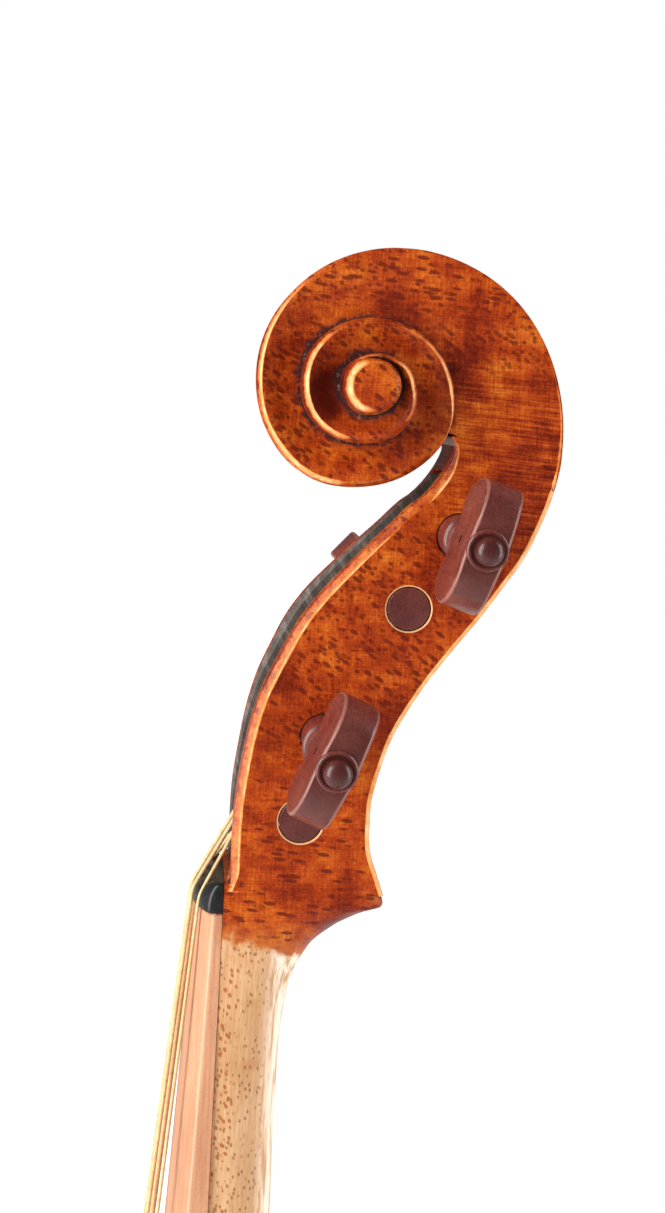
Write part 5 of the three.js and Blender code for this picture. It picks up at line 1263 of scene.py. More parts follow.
class Finish:
    """The nodes of one material, worked in the head's frame in millimetres."""

    def __init__(self, name, specular=0.3):
        self.material = bpy.data.materials.new(name)
        self.material.use_nodes = True
        self.tree = self.material.node_tree
        self.shader = self.tree.nodes["Principled BSDF"]
        self.shader.inputs["Specular IOR Level"].default_value = specular
        here = self.tree.nodes.new("ShaderNodeTexCoord").outputs["Object"]
        self.place = self.mapped(here, (1000, 1000, 1000), shift=tuple(ORIGIN))
        self.x, self.y, self.z = self.add("ShaderNodeSeparateXYZ", {0: self.place}).outputs

    def add(self, kind, values, **settings):
        node = self.tree.nodes.new(kind)
        for key, value in settings.items():
            setattr(node, key, value)
        for key, value in values.items():
            if isinstance(value, bpy.types.NodeSocket):
                self.tree.links.new(value, node.inputs[key])
            else:
                node.inputs[key].default_value = value
        return node

    def math(self, kind, *values):
        return self.add("ShaderNodeMath", dict(enumerate(values)), operation=kind).outputs[0]

    def total(self, *parts):
        """A sum of values, each a socket, a number or a pair of a socket and its weight."""
        made = None
        for part in parts:
            value = self.math("MULTIPLY", *part) if isinstance(part, tuple) else part
            made = value if made is None else self.math("ADD", made, value)
        return made

    def product(self, *parts):
        made = parts[0]
        for part in parts[1:]:
            made = self.math("MULTIPLY", made, part)
        return made

    def less(self, value):
        return self.math("SUBTRACT", 1.0, value)

    def mapped(self, where, scale, turn=(0, 0, 0), shift=(0, 0, 0)):
        values = {"Vector": where, "Scale": scale, "Rotation": [math.radians(t) for t in turn],
                  "Location": shift}
        return self.add("ShaderNodeMapping", values).outputs[0]

    def grid(self, size, turn, seed, where=None):
        """Places measured in cells of a size in mm along each axis, after a turn in degrees."""
        where = self.place if where is None else where
        if any(turn):
            where = self.mapped(where, (1, 1, 1), turn)
        return self.mapped(where, [1 / s for s in size], shift=(7.31 * seed, 3.17 * seed, 5.73 * seed))

    def noise(self, size, turn=(0, 0, 0), detail=3.0, rough=0.55, warp=0.0, seed=0, where=None):
        values = {"Vector": self.grid(size, turn, seed, where), "Scale": 1.0, "Detail": detail,
                  "Roughness": rough, "Distortion": warp}
        return self.add("ShaderNodeTexNoise", values).outputs[0]

    def flecks(self, size, turn=(0, 0, 0), reach=0.3, share=0.5, seed=0, where=None):
        """Short marks: one in a share of the cells, each as long as the cell and fading at its edge."""
        node = self.add("ShaderNodeTexVoronoi", {"Vector": self.grid(size, turn, seed, where), "Scale": 1.0})
        inside = self.step(node.outputs["Distance"], reach, reach * 0.55)
        chance = self.add("ShaderNodeSeparateColor", {0: node.outputs["Color"]}).outputs[0]
        return self.product(inside, self.step(chance, 1 - share, 1.03 - share))

    def step(self, value, low, high):
        """From 0 at one value to 1 at the other, whichever is the larger."""
        values = {"Value": value, "From Min": low, "From Max": high}
        return self.add("ShaderNodeMapRange", values, interpolation_type="SMOOTHSTEP").outputs[0]

    def spot(self, y, z, inner, outer, tall=1.0):
        """1 near a place in y and z, fading to 0 further out; tall stretches it along z."""
        dy = self.math("SUBTRACT", self.y, float(y))
        dz = self.math("DIVIDE", self.math("SUBTRACT", self.z, float(z)), tall)
        away = self.math("SQRT", self.total((dy, dy), (dz, dz)))
        return self.step(away, outer, inner)

    def ramp(self, value, stops):
        node = self.add("ShaderNodeValToRGB", {0: value})
        while len(node.color_ramp.elements) < len(stops):
            node.color_ramp.elements.new(0.5)
        for element, (at, colour) in zip(node.color_ramp.elements, stops):
            element.position = at
            element.color = srgb(*colour)
        return node.outputs[0]

    def blend(self, share, a, b, kind="MIX"):
        a, b = (srgb(*c) if isinstance(c, tuple) else c for c in (a, b))
        return self.add("ShaderNodeMix", {0: share, 6: a, 7: b}, data_type="RGBA", blend_type=kind).outputs[2]

    def attribute(self, name):
        node = self.tree.nodes.new("ShaderNodeAttribute")
        node.attribute_name = name
        return node.outputs["Fac"]

    def set(self, socket, value):
        self.tree.links.new(value, self.shader.inputs[socket])

    def bump(self, *heights):
        """Surface relief: pairs of a height socket and how many mm it stands for."""
        normal = None
        for height, depth in heights:
            values = {"Height": height, "Distance": depth * MM}
            if normal is not None:
                values["Normal"] = normal
            normal = self.add("ShaderNodeBump", values).outputs[0]
        self.set("Normal", normal)


def varnish_base(f):
    """The mottled orange-brown of old oil varnish on maple, with fine upright and level grain."""
    cloud = f.noise((17, 15, 15), detail=2.5, seed=3)
    patch = f.noise((6, 4.5, 3.4), detail=4, rough=0.6, seed=4)
    upright = f.noise((3, 0.28, 5.0), detail=2, seed=5)
    level = f.noise((3, 5.0, 0.26), detail=2, seed=6)
    speck = f.noise((0.5, 0.5, 0.5), detail=2, seed=7)
    tone = f.total((cloud, 0.9), (patch, 1.0), (upright, 0.5), (level, 0.38), (speck, 0.45),
                   -1.12)
    return tone, patch, upright, level, speck


TONES = [(0.0, DEEP_BROWN), (0.28, RED_BROWN), (0.52, ORANGE), (0.74, GOLD), (1.0, LIGHT_GOLD)]


def varnish_finish(name):
    """Head, neck and heel: varnish with flecks, dirt in corners, rubbed edges and some painted shade and
    highlights; the neck is bare, with painted highlight streaks along its back.
    """
    f = Finish(name, 0.16)
    tone, patch, upright, level, speck = varnish_base(f)
    streak = f.noise((6, 13, 0.55), (4, 0, 0), detail=3, rough=0.5, warp=0.3, seed=8)
    streaky = f.product(f.step(f.y, 34, 41), f.step(f.z, 68, 74), f.step(f.z, 112, 100))
    tone = f.total(tone, (f.math("SUBTRACT", streak, 0.5), f.math("MULTIPLY", streaky, 1.1)))
    # Darker and lighter places in the varnish's tone; the darkest, right of the second turn at (40.8, 105.5)
    # and left of the eye at (12.5, 102) and (14.5, 100.5), are painted shade.
    shades = [(f.spot(40.8, 105.5, 1.5, 6.5, 1.5), -0.34), (f.spot(27.5, 117.5, 1, 8), -0.16),
              (f.spot(46, 116, 1, 9), -0.14), (f.spot(19, 125.5, 2, 11), 0.12), (f.spot(50, 112, 2, 8), 0.1),
              (f.spot(30, 91, 1, 7), -0.2), (f.spot(24.5, 87.5, 1, 6), 0.1), (f.spot(44, 47, 1, 9), -0.3),
              (f.spot(30, 40, 2, 8), -0.12), (f.spot(38.5, 70, 2, 9), -0.16),
              (f.spot(20, 3, 3, 16, 0.6), -0.18), (f.spot(12.5, 102, 1, 8, 1.6), -0.22),
              (f.spot(14.5, 100.5, 1, 5.5), -0.35), (f.spot(52, 84, 1, 12, 2), -0.12)]
    colour = f.ramp(f.total(tone, *shades), TONES)

    # Flecks: level dashes at the top and low on the cheek, slanting ones between, dots at the right
    top = f.step(f.z, 112, 119)
    low = f.step(f.z, 40, 24)
    dashes = f.flecks((3.5, 3.6, 1.15), (6, 0, 0), 0.45, 0.8, 11)
    slanting = f.flecks((3, 2.9, 1.25), (32, 0, 0), 0.46, 0.7, 12)
    dots = f.flecks((2, 1.5, 1.2), (20, 0, 0), 0.42, 0.55, 13)
    faint = f.flecks((2.5, 1.5, 3.2), (-28, 0, 0), 0.42, 0.6, 14)
    ends = f.math("MAXIMUM", top, low)
    between = f.less(ends)
    left = f.product(f.step(f.y, 12, 6), f.step(f.z, 84, 90))
    marks = f.math("MAXIMUM", f.product(dashes, ends, f.step(patch, 0.36, 0.5)),
                   f.product(slanting, between, f.step(patch, 0.36, 0.5), f.less(streaky)))
    marks = f.math("MAXIMUM", marks, f.product(dots, f.less(low), f.less(streaky), 0.85))
    marks = f.math("MAXIMUM", marks, f.product(faint, left, 0.7))
    colour = f.blend(f.product(marks, 0.84), colour, (90, 21, 7))

    # Bare wood under the hand
    ragged = f.noise((3.2, 2.6, 5.0), detail=4, seed=21)
    edge = f.total(f.z, (ragged, -8.0), (f.y, 0.34))
    bare = f.product(f.step(edge, -6.6, -9.0), f.step(f.z, -128, -117))
    fading = f.product(f.step(edge, -3.4, -8.8), f.step(f.z, -133, -121))
    colour = f.blend(f.product(fading, 0.8), colour, (196, 112, 48))
    flame = f.noise((9, 14, 5.2), (9, 0, 0), detail=2, warp=0.6, seed=22)
    flame_side = f.noise((8, 8, 8), detail=2, seed=23)
    fibre = f.noise((0.5, 0.32, 7), (2, 0, 0), detail=3, seed=24)
    wood = f.ramp(f.total((fibre, 0.55), (f.noise((9, 9, 16), seed=25), 0.45)),
                  [(0.3, (180, 130, 84)), (0.5, (198, 152, 108)), (0.7, (216, 178, 138))])
    banded = f.product(f.step(flame, 0.56, 0.66), f.step(flame_side, 0.42, 0.58))
    bands = f.total((f.spot(7.0, -30.3, 0.8, 3.6, 0.55), 0.9), (f.spot(6.5, -17.6, 0.6, 3.2, 0.5), 0.5))
    wood = f.blend(f.product(f.math("MAXIMUM", banded, bands), 0.55), wood, (184, 124, 76))
    # Painted highlight: near-white streaks along the back of the bare neck, where it curves away from the
    # front.
    painted_highlight_streaks = f.step(f.noise((2.5, 1.2, 14), detail=3, seed=29), 0.35, 0.55)
    wood = f.blend(f.product(f.step(f.y, 8.0, 12.0), painted_highlight_streaks, 0.9), wood, (250, 234, 214))
    grain = f.flecks((0.9, 0.75, 3.6), (2, 0, 0), 0.36, 0.6, 26)
    wood = f.blend(f.product(grain, 0.3), wood, (176, 120, 74))
    small = f.flecks((1.3, 0.85, 1.45), (-9, 0, 0), 0.36, 0.8, 27)
    big = f.flecks((2.2, 1.1, 1.7), (-24, 0, 0), 0.4, 0.6, 28)
    wood = f.blend(f.product(small, f.step(f.y, 10.6, 8.4), f.step(flame_side, 0.3, 0.42), 0.8), wood,
                   (140, 86, 48))
    wood = f.blend(f.product(big, f.step(f.y, 4.6, 3.2), 0.8), wood, (156, 78, 40))
    colour = f.blend(bare, colour, wood)

    # Edges where the varnish has rubbed off, with a painted highlight making the scroll's left-facing bevels
    # and the eye's left side paler still, and dirt at the foot of each step
    wear, recess = f.attribute("wear"), f.attribute("recess")
    wobble = f.noise((1.5, 1.5, 1.5), detail=4, seed=31)
    fine = f.noise((0.5, 0.5, 0.5), detail=3, seed=32)
    for y, z, side, _ in PEGS.values():
        past = f.math("SUBTRACT", f.less(f.spot(y, z, 4.28, 4.34)), f.less(f.spot(y, z, 4.52, 4.62)))
        colour = f.blend(f.product(past, f.step(f.math("MULTIPLY", f.x, -side), 5, 6), 0.8), colour,
                         (232, 180, 126))
    sheltered = f.total((f.y, 0.45), (f.z, 0.3), (f.noise((9, 9, 9), detail=2, seed=36), 8.0))
    keep = f.product(f.step(sheltered, 41.5, 49.0), f.step(f.z, 84, 92),
                     f.less(f.product(f.spot(22.3, 103.6, 16.5, 18.5), 0.75)))
    throat = f.product(f.step(f.z, 70, 78), f.step(f.z, 97, 94), f.step(f.y, 37.5, 34.5), f.step(f.y, 17, 20))
    # This rubbed mask is wear, and on the scroll's left-facing bevels and the eye's left side also a painted
    # highlight; it paints them orange, then cream.
    rubbed = f.total(wear, (wobble, 0.55), (fine, 0.2), (keep, -0.27), (throat, -0.5), -0.42)
    colour = f.blend(f.product(f.step(rubbed, 0.3, 0.62), 0.85), colour, WORN_AND_HIGHLIGHT_ORANGE)
    pale = f.ramp(f.noise((2.5, 2.5, 2.5), detail=3, seed=33),
                  [(0.3, (212, 134, 70)), (0.52, (230, 170, 106)), (0.75, (242, 204, 154))])
    cream_wear_plus_highlight = f.step(rubbed, 0.62, 0.84)
    colour = f.blend(cream_wear_plus_highlight, colour, pale)
    grime = f.noise((2.4, 2.4, 2.4), detail=4, rough=0.62, seed=34)
    round_eye = f.spot(22.3, 103.6, 5.6, 9.5)
    second = f.math("SUBTRACT", f.spot(20.8, 103.4, 12.5, 17.5), f.spot(22.5, 103.5, 9.5, 12.0))
    deep = f.total((recess, 0.9), (grime, 0.8), (round_eye, 0.16), (f.math("MAXIMUM", second, 0.0), 0.13),
                   -0.42)
    dirt = f.step(deep, 0.32, 0.62)
    dusty = f.product(f.step(f.noise((1.1, 1.1, 1.1), detail=5, rough=0.7, seed=35), 0.55, 0.68),
                      f.step(recess, 0.3, 0.6))
    colour = f.blend(f.product(dirt, 0.88), colour, f.blend(f.product(dusty, 0.7), OLD_DIRT, (150, 122, 118)))
    f.set("Base Color", colour)
    f.set("Roughness", f.total((bare, 0.04), (dirt, 0.25), (cream_wear_plus_highlight, 0.05), (patch, 0.2), 0.24))
    ridge = f.total((upright, 0.5), (level, 0.5), (marks, -0.35))
    f.bump((patch, 0.05), (ridge, 0.018), (speck, 0.006), (f.product(dirt, grime), 0.05))
    return f.material


def paint_finish(name):
    """The dark paint inside the pegbox, with greyer brush marks where it has thinned."""
    f = Finish(name, 0.25)
    streak = f.noise((1.4, 1.4, 9), (-30, 0, 0), detail=4, rough=0.6, seed=41)
    blotch = f.noise((5, 5, 5), detail=4, seed=42)
    dust = f.noise((0.7, 0.7, 0.7), detail=4, seed=43)
    colour = f.ramp(f.total((streak, 0.6), (blotch, 0.4)),
                    [(0.3, (52, 44, 40)), (0.5, (84, 74, 68)), (0.66, (122, 114, 104))])
    colour = f.blend(f.product(f.step(dust, 0.6, 0.75), 0.4), colour, (150, 140, 128))
    f.set("Base Color", colour)
    f.set("Roughness", f.total((blotch, 0.3), 0.45))
    f.bump((streak, 0.08), (dust, 0.03))
    return f.material


def peg_finish(name):
    """Stained plum wood, rubbed to a dull sheen, with pores along the peg and paler arrises; painted shade
    darkens its recesses and the faces that look along its axis, such as the thumb-piece's end.
    """
    f = Finish(name, 0.42)
    cloud = f.noise((7, 7, 7), detail=3, seed=51)
    grain = f.noise((9, 0.5, 0.5), detail=3, seed=52)
    pores = f.flecks((5, 0.42, 0.42), (0, 0, 0), 0.35, 0.35, 53)
    smudge = f.noise((3, 3, 3), detail=4, seed=54)
    tone = f.total((cloud, 0.45), (grain, 0.35), (smudge, 0.2))
    colour = f.ramp(tone, [(0.32, (78, 30, 25)), (0.5, (104, 46, 39)), (0.68, (130, 66, 56))])
    colour = f.blend(f.product(pores, 0.4), colour, (70, 26, 22))
    # Painted shade: darker in the peg's recesses.
    recess = f.attribute("recess")
    colour = f.blend(f.product(f.step(recess, 0.35, 0.8), 0.6), colour, (52, 18, 16))
    # Painted shade: the faces that look along the peg's axis, such as its end faces, are darker.
    normal = f.add("ShaderNodeTexCoord", {}).outputs["Normal"]
    along = f.math("ABSOLUTE", f.add("ShaderNodeSeparateXYZ", {0: normal}).outputs[0])
    colour = f.blend(f.product(f.step(along, 0.55, 0.92), 0.5), colour, (56, 20, 19))
    colour = f.blend(f.product(f.attribute("pip"), 0.55), colour, (44, 9, 8))
    arris = f.total(f.attribute("wear"), (smudge, 0.6), -0.3)
    colour = f.blend(f.product(f.step(arris, 0.35, 0.9), 0.4), colour, (172, 120, 106))
    f.set("Base Color", colour)
    f.set("Roughness", f.total((smudge, 0.2), (grain, 0.08), 0.18))
    f.bump((smudge, 0.03), (grain, 0.012), (pores, -0.02))
    return f.material


def gut_finish(name):
    """Twisted gut: golden, with a fine rope-like twist and greyer, rubbed places."""
    f = Finish(name, 0.45)
    turn = f.math("FRACT", f.attribute("along"))
    groove = f.step(f.math("ABSOLUTE", f.math("SUBTRACT", turn, 0.5)), 0.34, 0.5)
    cloud = f.noise((3, 3, 6), detail=3, seed=61)
    fine = f.noise((0.3, 0.3, 0.5), detail=3, seed=62)
    colour = f.ramp(f.total((cloud, 0.6), (fine, 0.4)),
                    [(0.3, (190, 150, 98)), (0.5, (214, 178, 128)), (0.7, (228, 200, 156))])
    colour = f.blend(f.product(groove, 0.3), colour, (176, 142, 100))
    f.set("Base Color", colour)
    f.set("Roughness", f.total((fine, 0.25), 0.3))
    f.bump((groove, -0.03), (fine, 0.01))
    return f.material


def ebony_finish(name):
    """Near-black wood with pale pores, for the nut and the saddle."""
    f = Finish(name, 0.4)
    cloud = f.noise((5, 5, 5), detail=3, seed=71)
    grain = f.noise((9, 0.3, 0.3), detail=2, seed=72)
    pores = f.flecks((4.5, 0.35, 0.35), (0, 0, 0), 0.35, 0.3, 73)
    colour = f.ramp(f.total((cloud, 0.5), (grain, 0.5)),
                    [(0.3, (12, 13, 13)), (0.5, (22, 24, 23)), (0.7, (38, 40, 38))])
    colour = f.blend(f.product(pores, 0.45), colour, (98, 98, 94))
    f.set("Base Color", colour)
    f.set("Roughness", f.total((cloud, 0.2), (grain, 0.1), 0.2))
    f.bump((grain, 0.015), (pores, -0.02))
    return f.material


def board_finish(name):
    """The fingerboard: plain pinkish wood with long grain and small ray flecks, a little grey in places."""
    f = Finish(name, 0.3)
    fibre = f.noise((0.5, 0.45, 26), detail=4, seed=81)
    cloud = f.noise((10, 10, 30), detail=3, seed=82)
    rays = f.flecks((0.8, 0.5, 1.6), (0, 0, 0), 0.36, 0.5, 83)
    speck = f.noise((0.4, 0.4, 0.5), detail=3, seed=84)
    colour = f.ramp(f.total((fibre, 0.45), (cloud, 0.3), (speck, 0.25)),
                    [(0.32, (168, 112, 80)), (0.5, (188, 134, 100)), (0.68, (204, 156, 122))])
    colour = f.blend(f.product(rays, 0.3), colour, (188, 122, 84))
    smear = f.noise((6, 6, 14), detail=4, seed=85)
    played = f.product(f.step(f.y, -4.0, -6.5), f.step(smear, 0.45, 0.62))
    colour = f.blend(f.product(played, 0.25), colour, (150, 118, 96))
    wear = f.attribute("wear")
    colour = f.blend(f.product(f.step(wear, 0.2, 0.9), 0.35), colour, (246, 214, 182))
    f.set("Base Color", colour)
    f.set("Roughness", f.total((smear, 0.15), (fibre, 0.15), 0.3))
    f.bump((fibre, 0.02), (rays, -0.012), (smear, 0.03))
    return f.material


def body_varnish(f, colour, tone, wear=None, dirt=None):
    """Wear and darkening over a body colour, with the roughness and relief of old varnish: dirt on the belly,
    and darker bands along the ribs' edges.
    """
    scuff = f.noise((9, 9, 22), detail=5, rough=0.62, warp=0.4, seed=91)
    scratches = f.noise((16, 16, 0.5), (30, 24, 0), detail=3, rough=0.7, seed=92)
    speck = f.noise((0.6, 0.6, 0.6), detail=2, seed=93)
    colour = f.blend(f.product(f.step(scuff, 0.56, 0.72), 0.3), colour, (222, 150, 74))
    colour = f.blend(f.product(f.step(scratches, 0.68, 0.74), 0.22), colour, (96, 44, 18))
    if wear is not None:
        rubbed = f.total(wear, (f.noise((2.2, 2.2, 2.2), detail=4, seed=94), 0.5), -0.25)
        colour = f.blend(f.product(f.step(rubbed, 0.45, 0.95), 0.6), colour, (206, 136, 74))
    # The darkening: dirt on the belly, and darker bands along the ribs' edges next to the plates.
    if dirt is not None:
        colour = f.blend(dirt, colour, (50, 22, 12))
    f.set("Base Color", colour)
    f.set("Roughness", f.total((scuff, 0.3), (tone, 0.1), 0.16))
    f.bump((tone, 0.03), (scuff, 0.04), (speck, 0.006))


def add_purfling(f, colour):
    """Three strips let in along the edge, black, white and black, in a shallow groove."""
    inset = f.attribute("inset")
    middle = f.math("ABSOLUTE",
                    f.math("SUBTRACT", f.total(inset, (f.noise((30, 30, 30), detail=1, seed=95), 0.3)), 4.35))
    whole, white = f.step(middle, 0.86, 0.74), f.step(middle, 0.36, 0.26)
    colour = f.blend(whole, colour, (30, 20, 14))
    return f.blend(f.product(whole, white), colour, (206, 160, 98)), inset


def belly_finish(name):
    """Spruce under golden varnish: dark summer lines along the grain, wider apart toward the edges."""
    f = Finish(name, 0.28)
    across = f.math("ABSOLUTE", f.x)
    spread = f.math("POWER", across, 0.86)
    drift = f.noise((60, 60, 240), detail=2, seed=101)
    lines = f.total((spread, 1.15), (drift, 5.0))
    ring = f.math("FRACT", lines)
    late = f.product(f.step(ring, 0.45, 0.96), f.step(ring, 1.0, 0.95))
    silk = f.noise((3.4, 30, 0.9), (0, 3, 0), detail=3, seed=102)
    cloud = f.noise((40, 40, 60), detail=4, seed=103)
    fibre = f.noise((0.3, 0.5, 40), detail=3, seed=104)
    tone = f.total((cloud, 0.7), (silk, 0.25), (fibre, 0.2), -0.08)
    colour = f.ramp(tone, [(0.25, (136, 56, 16)), (0.5, (170, 82, 26)), (0.75, (198, 114, 46))])
    colour = f.blend(f.product(late, 0.62), colour, (112, 44, 14))
    colour, inset = add_purfling(f, colour)
    blotch = f.step(f.noise((6, 6, 6), detail=4, seed=105), 0.62, 0.75)
    rosin = f.product(f.step(across, 34, 12), f.step(f.z, -345, -325), f.step(f.z, -285, -300), 0.2)
    colour = f.blend(rosin, colour, (214, 190, 158))
    body_varnish(f, colour, f.total((late, -0.4), tone), f.step(inset, 1.1, 0.2),
                 f.product(blotch, 0.3, f.step(inset, 9, 5)))
    return f.material


def flamed(f, slope, size):
    """Tone of curly maple: bands of light and shade that lean away from the joint."""
    across = f.math("ABSOLUTE", f.x)
    leaning = f.add("ShaderNodeCombineXYZ", {0: across, 1: f.y, 2: f.total(f.z, (across, slope))}).outputs[0]
    bands = f.noise(size, detail=2.5, rough=0.5, warp=0.5, seed=111, where=leaning)
    fine = f.noise([s * 0.35 for s in size], detail=3, seed=112, where=leaning)
    return f.total((bands, 1.5), (fine, 0.35), -0.42)


def back_finish(name):
    """Maple under orange-brown varnish: leaning flames, small dark flecks and the purfling."""
    f = Finish(name, 0.28)
    flames = flamed(f, 0.24, (46, 30, 6.5))
    cloud = f.noise((40, 40, 50), detail=4, seed=113)
    fibre = f.noise((0.4, 0.5, 9), detail=3, seed=114)
    marks = f.flecks((0.7, 2, 3.4), (0, 0, 0), 0.4, 0.45, 115)
    tone = f.total((flames, 0.75), (cloud, 0.5), (fibre, 0.15), -0.2)
    colour = f.ramp(tone,
                    [(0.1, (92, 26, 6)), (0.35, (132, 42, 8)), (0.6, (172, 70, 18)), (0.85, (200, 102, 36))])
    colour = f.blend(f.product(marks, 0.4), colour, (90, 28, 8))
    colour, inset = add_purfling(f, colour)
    body_varnish(f, colour, flames, f.step(inset, 1.1, 0.2), None)
    return f.material


def rib_finish(name):
    """The ribs: maple whose flames stand upright on the instrument's side, darker in bands along both edges,
    next to the plates.
    """
    f = Finish(name, 0.28)
    bands = f.noise((7, 60, 7), (6, 0, 0), detail=2.5, rough=0.5, warp=0.5, seed=121)
    cloud = f.noise((30, 30, 30), detail=4, seed=122)
    fibre = f.noise((6, 0.35, 6), detail=3, seed=123)
    tone = f.total((bands, 1.2), (cloud, 0.5), (fibre, 0.3), -0.52)
    colour = f.ramp(tone,
                    [(0.15, (96, 28, 6)), (0.4, (138, 46, 10)), (0.65, (176, 74, 20)), (0.9, (202, 106, 40))])
    # Darker bands along both edges of the ribs, next to the plates.
    edge = f.math("MAXIMUM", f.step(f.y, BELLY_PLANE + 2.6, BELLY_PLANE + 0.4),
                  f.step(f.y, BACK_PLANE - 2.6, BACK_PLANE - 0.4))
    body_varnish(f, colour, bands, None, f.product(edge, f.noise((4, 4, 4), detail=4, seed=124), 1.1))
    return f.material


def bare_finish(name, shades, fleck=None, long_axis=2):
    """Unvarnished wood, with its grain along one axis: inside work, bridge or tailpiece."""
    f = Finish(name, 0.25)
    size, short = [0.5, 0.5, 0.5], [0.4, 0.4, 0.4]
    size[long_axis], short[long_axis] = 24, 2.2
    fibre = f.noise(size, detail=4, seed=131)
    cloud = f.noise((11, 11, 11), detail=4, seed=132)
    speck = f.noise((0.5, 0.5, 0.5), detail=3, seed=133)
    colour = f.ramp(f.total((fibre, 0.45), (cloud, 0.35), (speck, 0.2)),
                    [(0.32, shades[0]), (0.5, shades[1]), (0.68, shades[2])])
    marks = f.flecks(short, (0, 0, 0), 0.4, 0.5, 134)
    if fleck is not None:
        colour = f.blend(f.product(marks, 0.55), colour, fleck)
    smear = f.noise((5, 5, 5), detail=5, rough=0.6, seed=135)
    colour = f.blend(f.product(f.step(smear, 0.58, 0.74), 0.3), colour,
                     tuple(int(0.55 * c) for c in shades[0]))
    f.set("Base Color", colour)
    f.set("Roughness", f.total((smear, 0.25), (fibre, 0.15), 0.25))
    f.bump((fibre, 0.03), (marks, -0.02), (smear, 0.03))
    return f.material


def iron_finish(name):
    """Old forged nails, dark with rust in patches."""
    f = Finish(name, 0.5)
    rust = f.noise((2, 2, 2), detail=5, rough=0.65, seed=141)
    grain = f.noise((0.3, 0.3, 1.5), detail=3, seed=142)
    rusty = f.step(rust, 0.48, 0.6)
    colour = f.blend(rusty, f.ramp(grain, [(0.3, (52, 50, 50)), (0.6, (96, 94, 92))]), (112, 58, 32))
    f.set("Base Color", colour)
    f.set("Metallic", f.less(rusty))
    f.set("Roughness", f.total((rusty, 0.35), (grain, 0.2), 0.3))
    f.bump((rust, 0.08), (grain, 0.03))
    return f.material


def dress(piece, *finishes):
    slots = piece.data.materials
    for i, finish in enumerate(finishes):
        if i < len(slots):
            slots[i] = finish
        else:
            slots.append(finish)


varnish, paint = varnish_finish("varnished_maple_look"), paint_finish("pegbox_paint")
dress(head, varnish, paint)
dress(nut, ebony_finish("black_wood_look"))
dress(board, board_finish("fingerboard_look"))
plum, gut = peg_finish("plum_wood_look"), gut_finish("gut_look")
for peg in pegs.values():
    dress(peg, plum)
for piece in (*gut_strings.values(), *gut_windings.values()):
    dress(piece, gut)

for plates, plate_look in ((bellies, belly_finish("varnished_spruce_look")),
                           (backs, back_finish("varnished_back_look"))):
    for plate in plates:
        dress(plate, plate_look)
ribs = rib_finish("varnished_rib_look")
inside_wood = bare_finish("inside_wood_look", [(186, 138, 92), (206, 162, 114), (222, 184, 140)])
node_looks = {
    "rib_": ribs, "top_block": inside_wood, "bottom_block": inside_wood, "corner_block": inside_wood,
    "lining_": inside_wood, "bass_bar": inside_wood, "sound_post": inside_wood,
    "neck_nail": iron_finish("iron_look"),
    "bridge": bare_finish("bridge_wood_look", [(172, 112, 62), (198, 140, 86), (216, 166, 112)],
                          (120, 64, 30), 0),
    "tailpiece": bare_finish("tailpiece_look", [(160, 102, 66), (184, 126, 86), (204, 150, 108)],
                             (128, 76, 44)),
    "tail_gut": bare_finish("tail_gut_look", [(178, 132, 80), (206, 164, 108), (224, 190, 138)]),
    "saddle": ebony_finish("saddle_look"), "end_button": plum,
}
for node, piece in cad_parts.items():
    for start, look in node_looks.items():
        if node.startswith(start):
            for slot in piece.material_slots:
                slot.link = "OBJECT"
                slot.material = look

# Which body each piece goes with

for name, peg in pegs.items():
    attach(peg, name + "_peg")
for name, winding in gut_windings.items():
    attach(winding, name + "_peg")
for piece in (head, nut, board, *gut_strings.values(), *bellies, *backs):
    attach(piece, "instrument")


# Stage: a pale floor, a white surround and two tall soft lights

FLOOR_RADIUS = 6.0
FLOOR_GLOW = (0.7, 0.05)
WORLD_DIFFUSE, WORLD_GLOSSY = 0.5, 0.12
LIGHT_TARGET = (0, 20, 40)


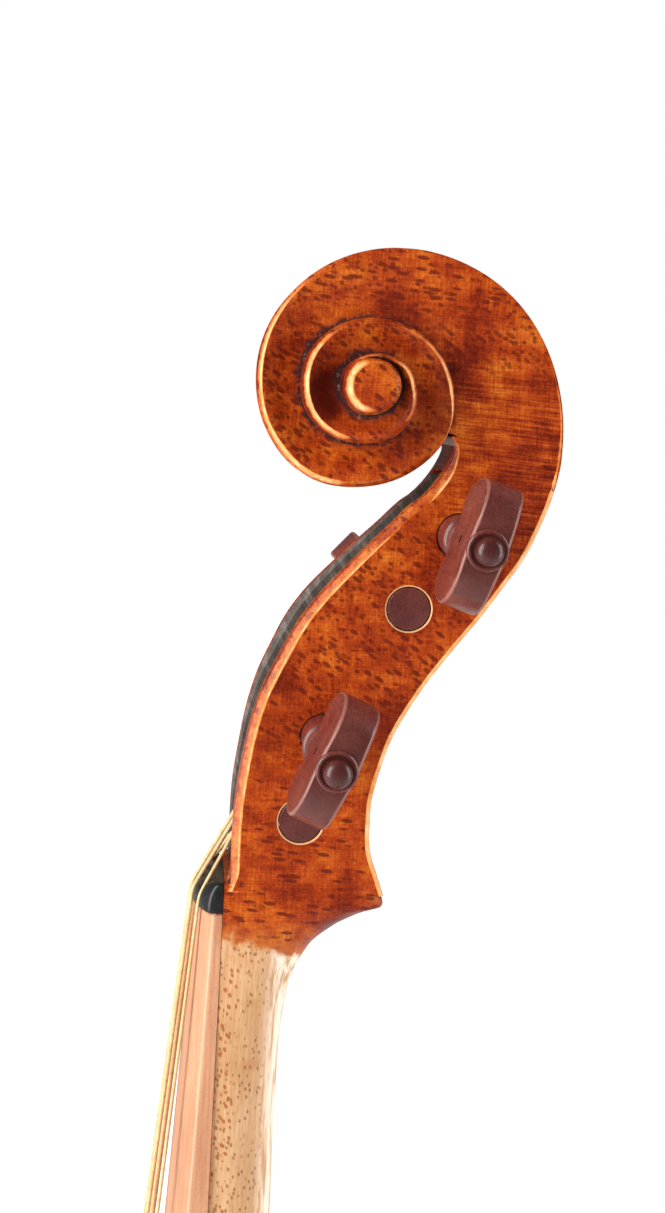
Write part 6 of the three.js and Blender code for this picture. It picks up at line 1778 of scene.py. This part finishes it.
def make_floor():
    z = cad_low[2] - 0.002
    mesh = bpy.data.meshes.new("studio_floor")
    ring = np.linspace(0, 2 * math.pi, 97)[:-1]
    points = [(FLOOR_RADIUS * math.cos(a), FLOOR_RADIUS * math.sin(a), z) for a in ring]
    mesh.from_pydata(points, [], [list(range(len(points)))])
    floor = link("studio_floor", mesh)
    material = bpy.data.materials.new("pale_floor")
    material.use_nodes = True
    shader = material.node_tree.nodes["Principled BSDF"]
    shader.inputs["Base Color"].default_value = (0.9, 0.9, 0.9, 1)
    shader.inputs["Roughness"].default_value = 0.95
    shader.inputs["Specular IOR Level"].default_value = 0.0
    shader.inputs["Emission Color"].default_value = (1, 1, 1, 1)
    nodes, links = material.node_tree.nodes, material.node_tree.links
    glow = nodes.new("ShaderNodeMath")
    glow.operation = "MULTIPLY_ADD"
    links.new(nodes.new("ShaderNodeLightPath").outputs["Is Camera Ray"], glow.inputs[0])
    glow.inputs[1].default_value, glow.inputs[2].default_value = FLOOR_GLOW
    links.new(glow.outputs[0], shader.inputs["Emission Strength"])
    mesh.materials.append(material)


def make_world():
    """White where the camera looks past the object; dimmer in reflections and as the light all round."""
    world = bpy.data.worlds.new("studio")
    bpy.context.scene.world = world
    world.use_nodes = True
    nodes, links = world.node_tree.nodes, world.node_tree.links
    rays = nodes.new("ShaderNodeLightPath")
    strength = None
    for name, value in (("Is Camera Ray", 1.0 - WORLD_DIFFUSE),
                        ("Is Glossy Ray", WORLD_GLOSSY - WORLD_DIFFUSE)):
        step = nodes.new("ShaderNodeMath")
        step.operation = "MULTIPLY_ADD"
        links.new(rays.outputs[name], step.inputs[0])
        step.inputs[1].default_value = value
        if strength is None:
            step.inputs[2].default_value = WORLD_DIFFUSE
        else:
            links.new(strength, step.inputs[2])
        strength = step.outputs[0]
    background = nodes["Background"]
    background.inputs["Color"].default_value = (1, 1, 1, 1)
    links.new(strength, background.inputs["Strength"])


def soft_light(name, place, width, height, power):
    light = bpy.data.lights.new(name, "AREA")
    light.shape = "RECTANGLE"
    light.size, light.size_y, light.energy = width, height, power
    lamp = bpy.data.objects.new(name, light)
    bpy.context.scene.collection.objects.link(lamp)
    place, target = Vector(row(place)), Vector(row(LIGHT_TARGET))
    aim = (place - target).to_track_quat("Z", "Y")
    lamp.matrix_world = Matrix.Translation(place) @ aim.to_matrix().to_4x4()


make_floor()
make_world()
soft_light("left_softbox", (480, -850, 260), 0.5, 1.2, 20)
soft_light("right_softbox", (250, 950, 160), 0.3, 1.2, 9)

bpy.context.scene.view_settings.view_transform = "Standard"
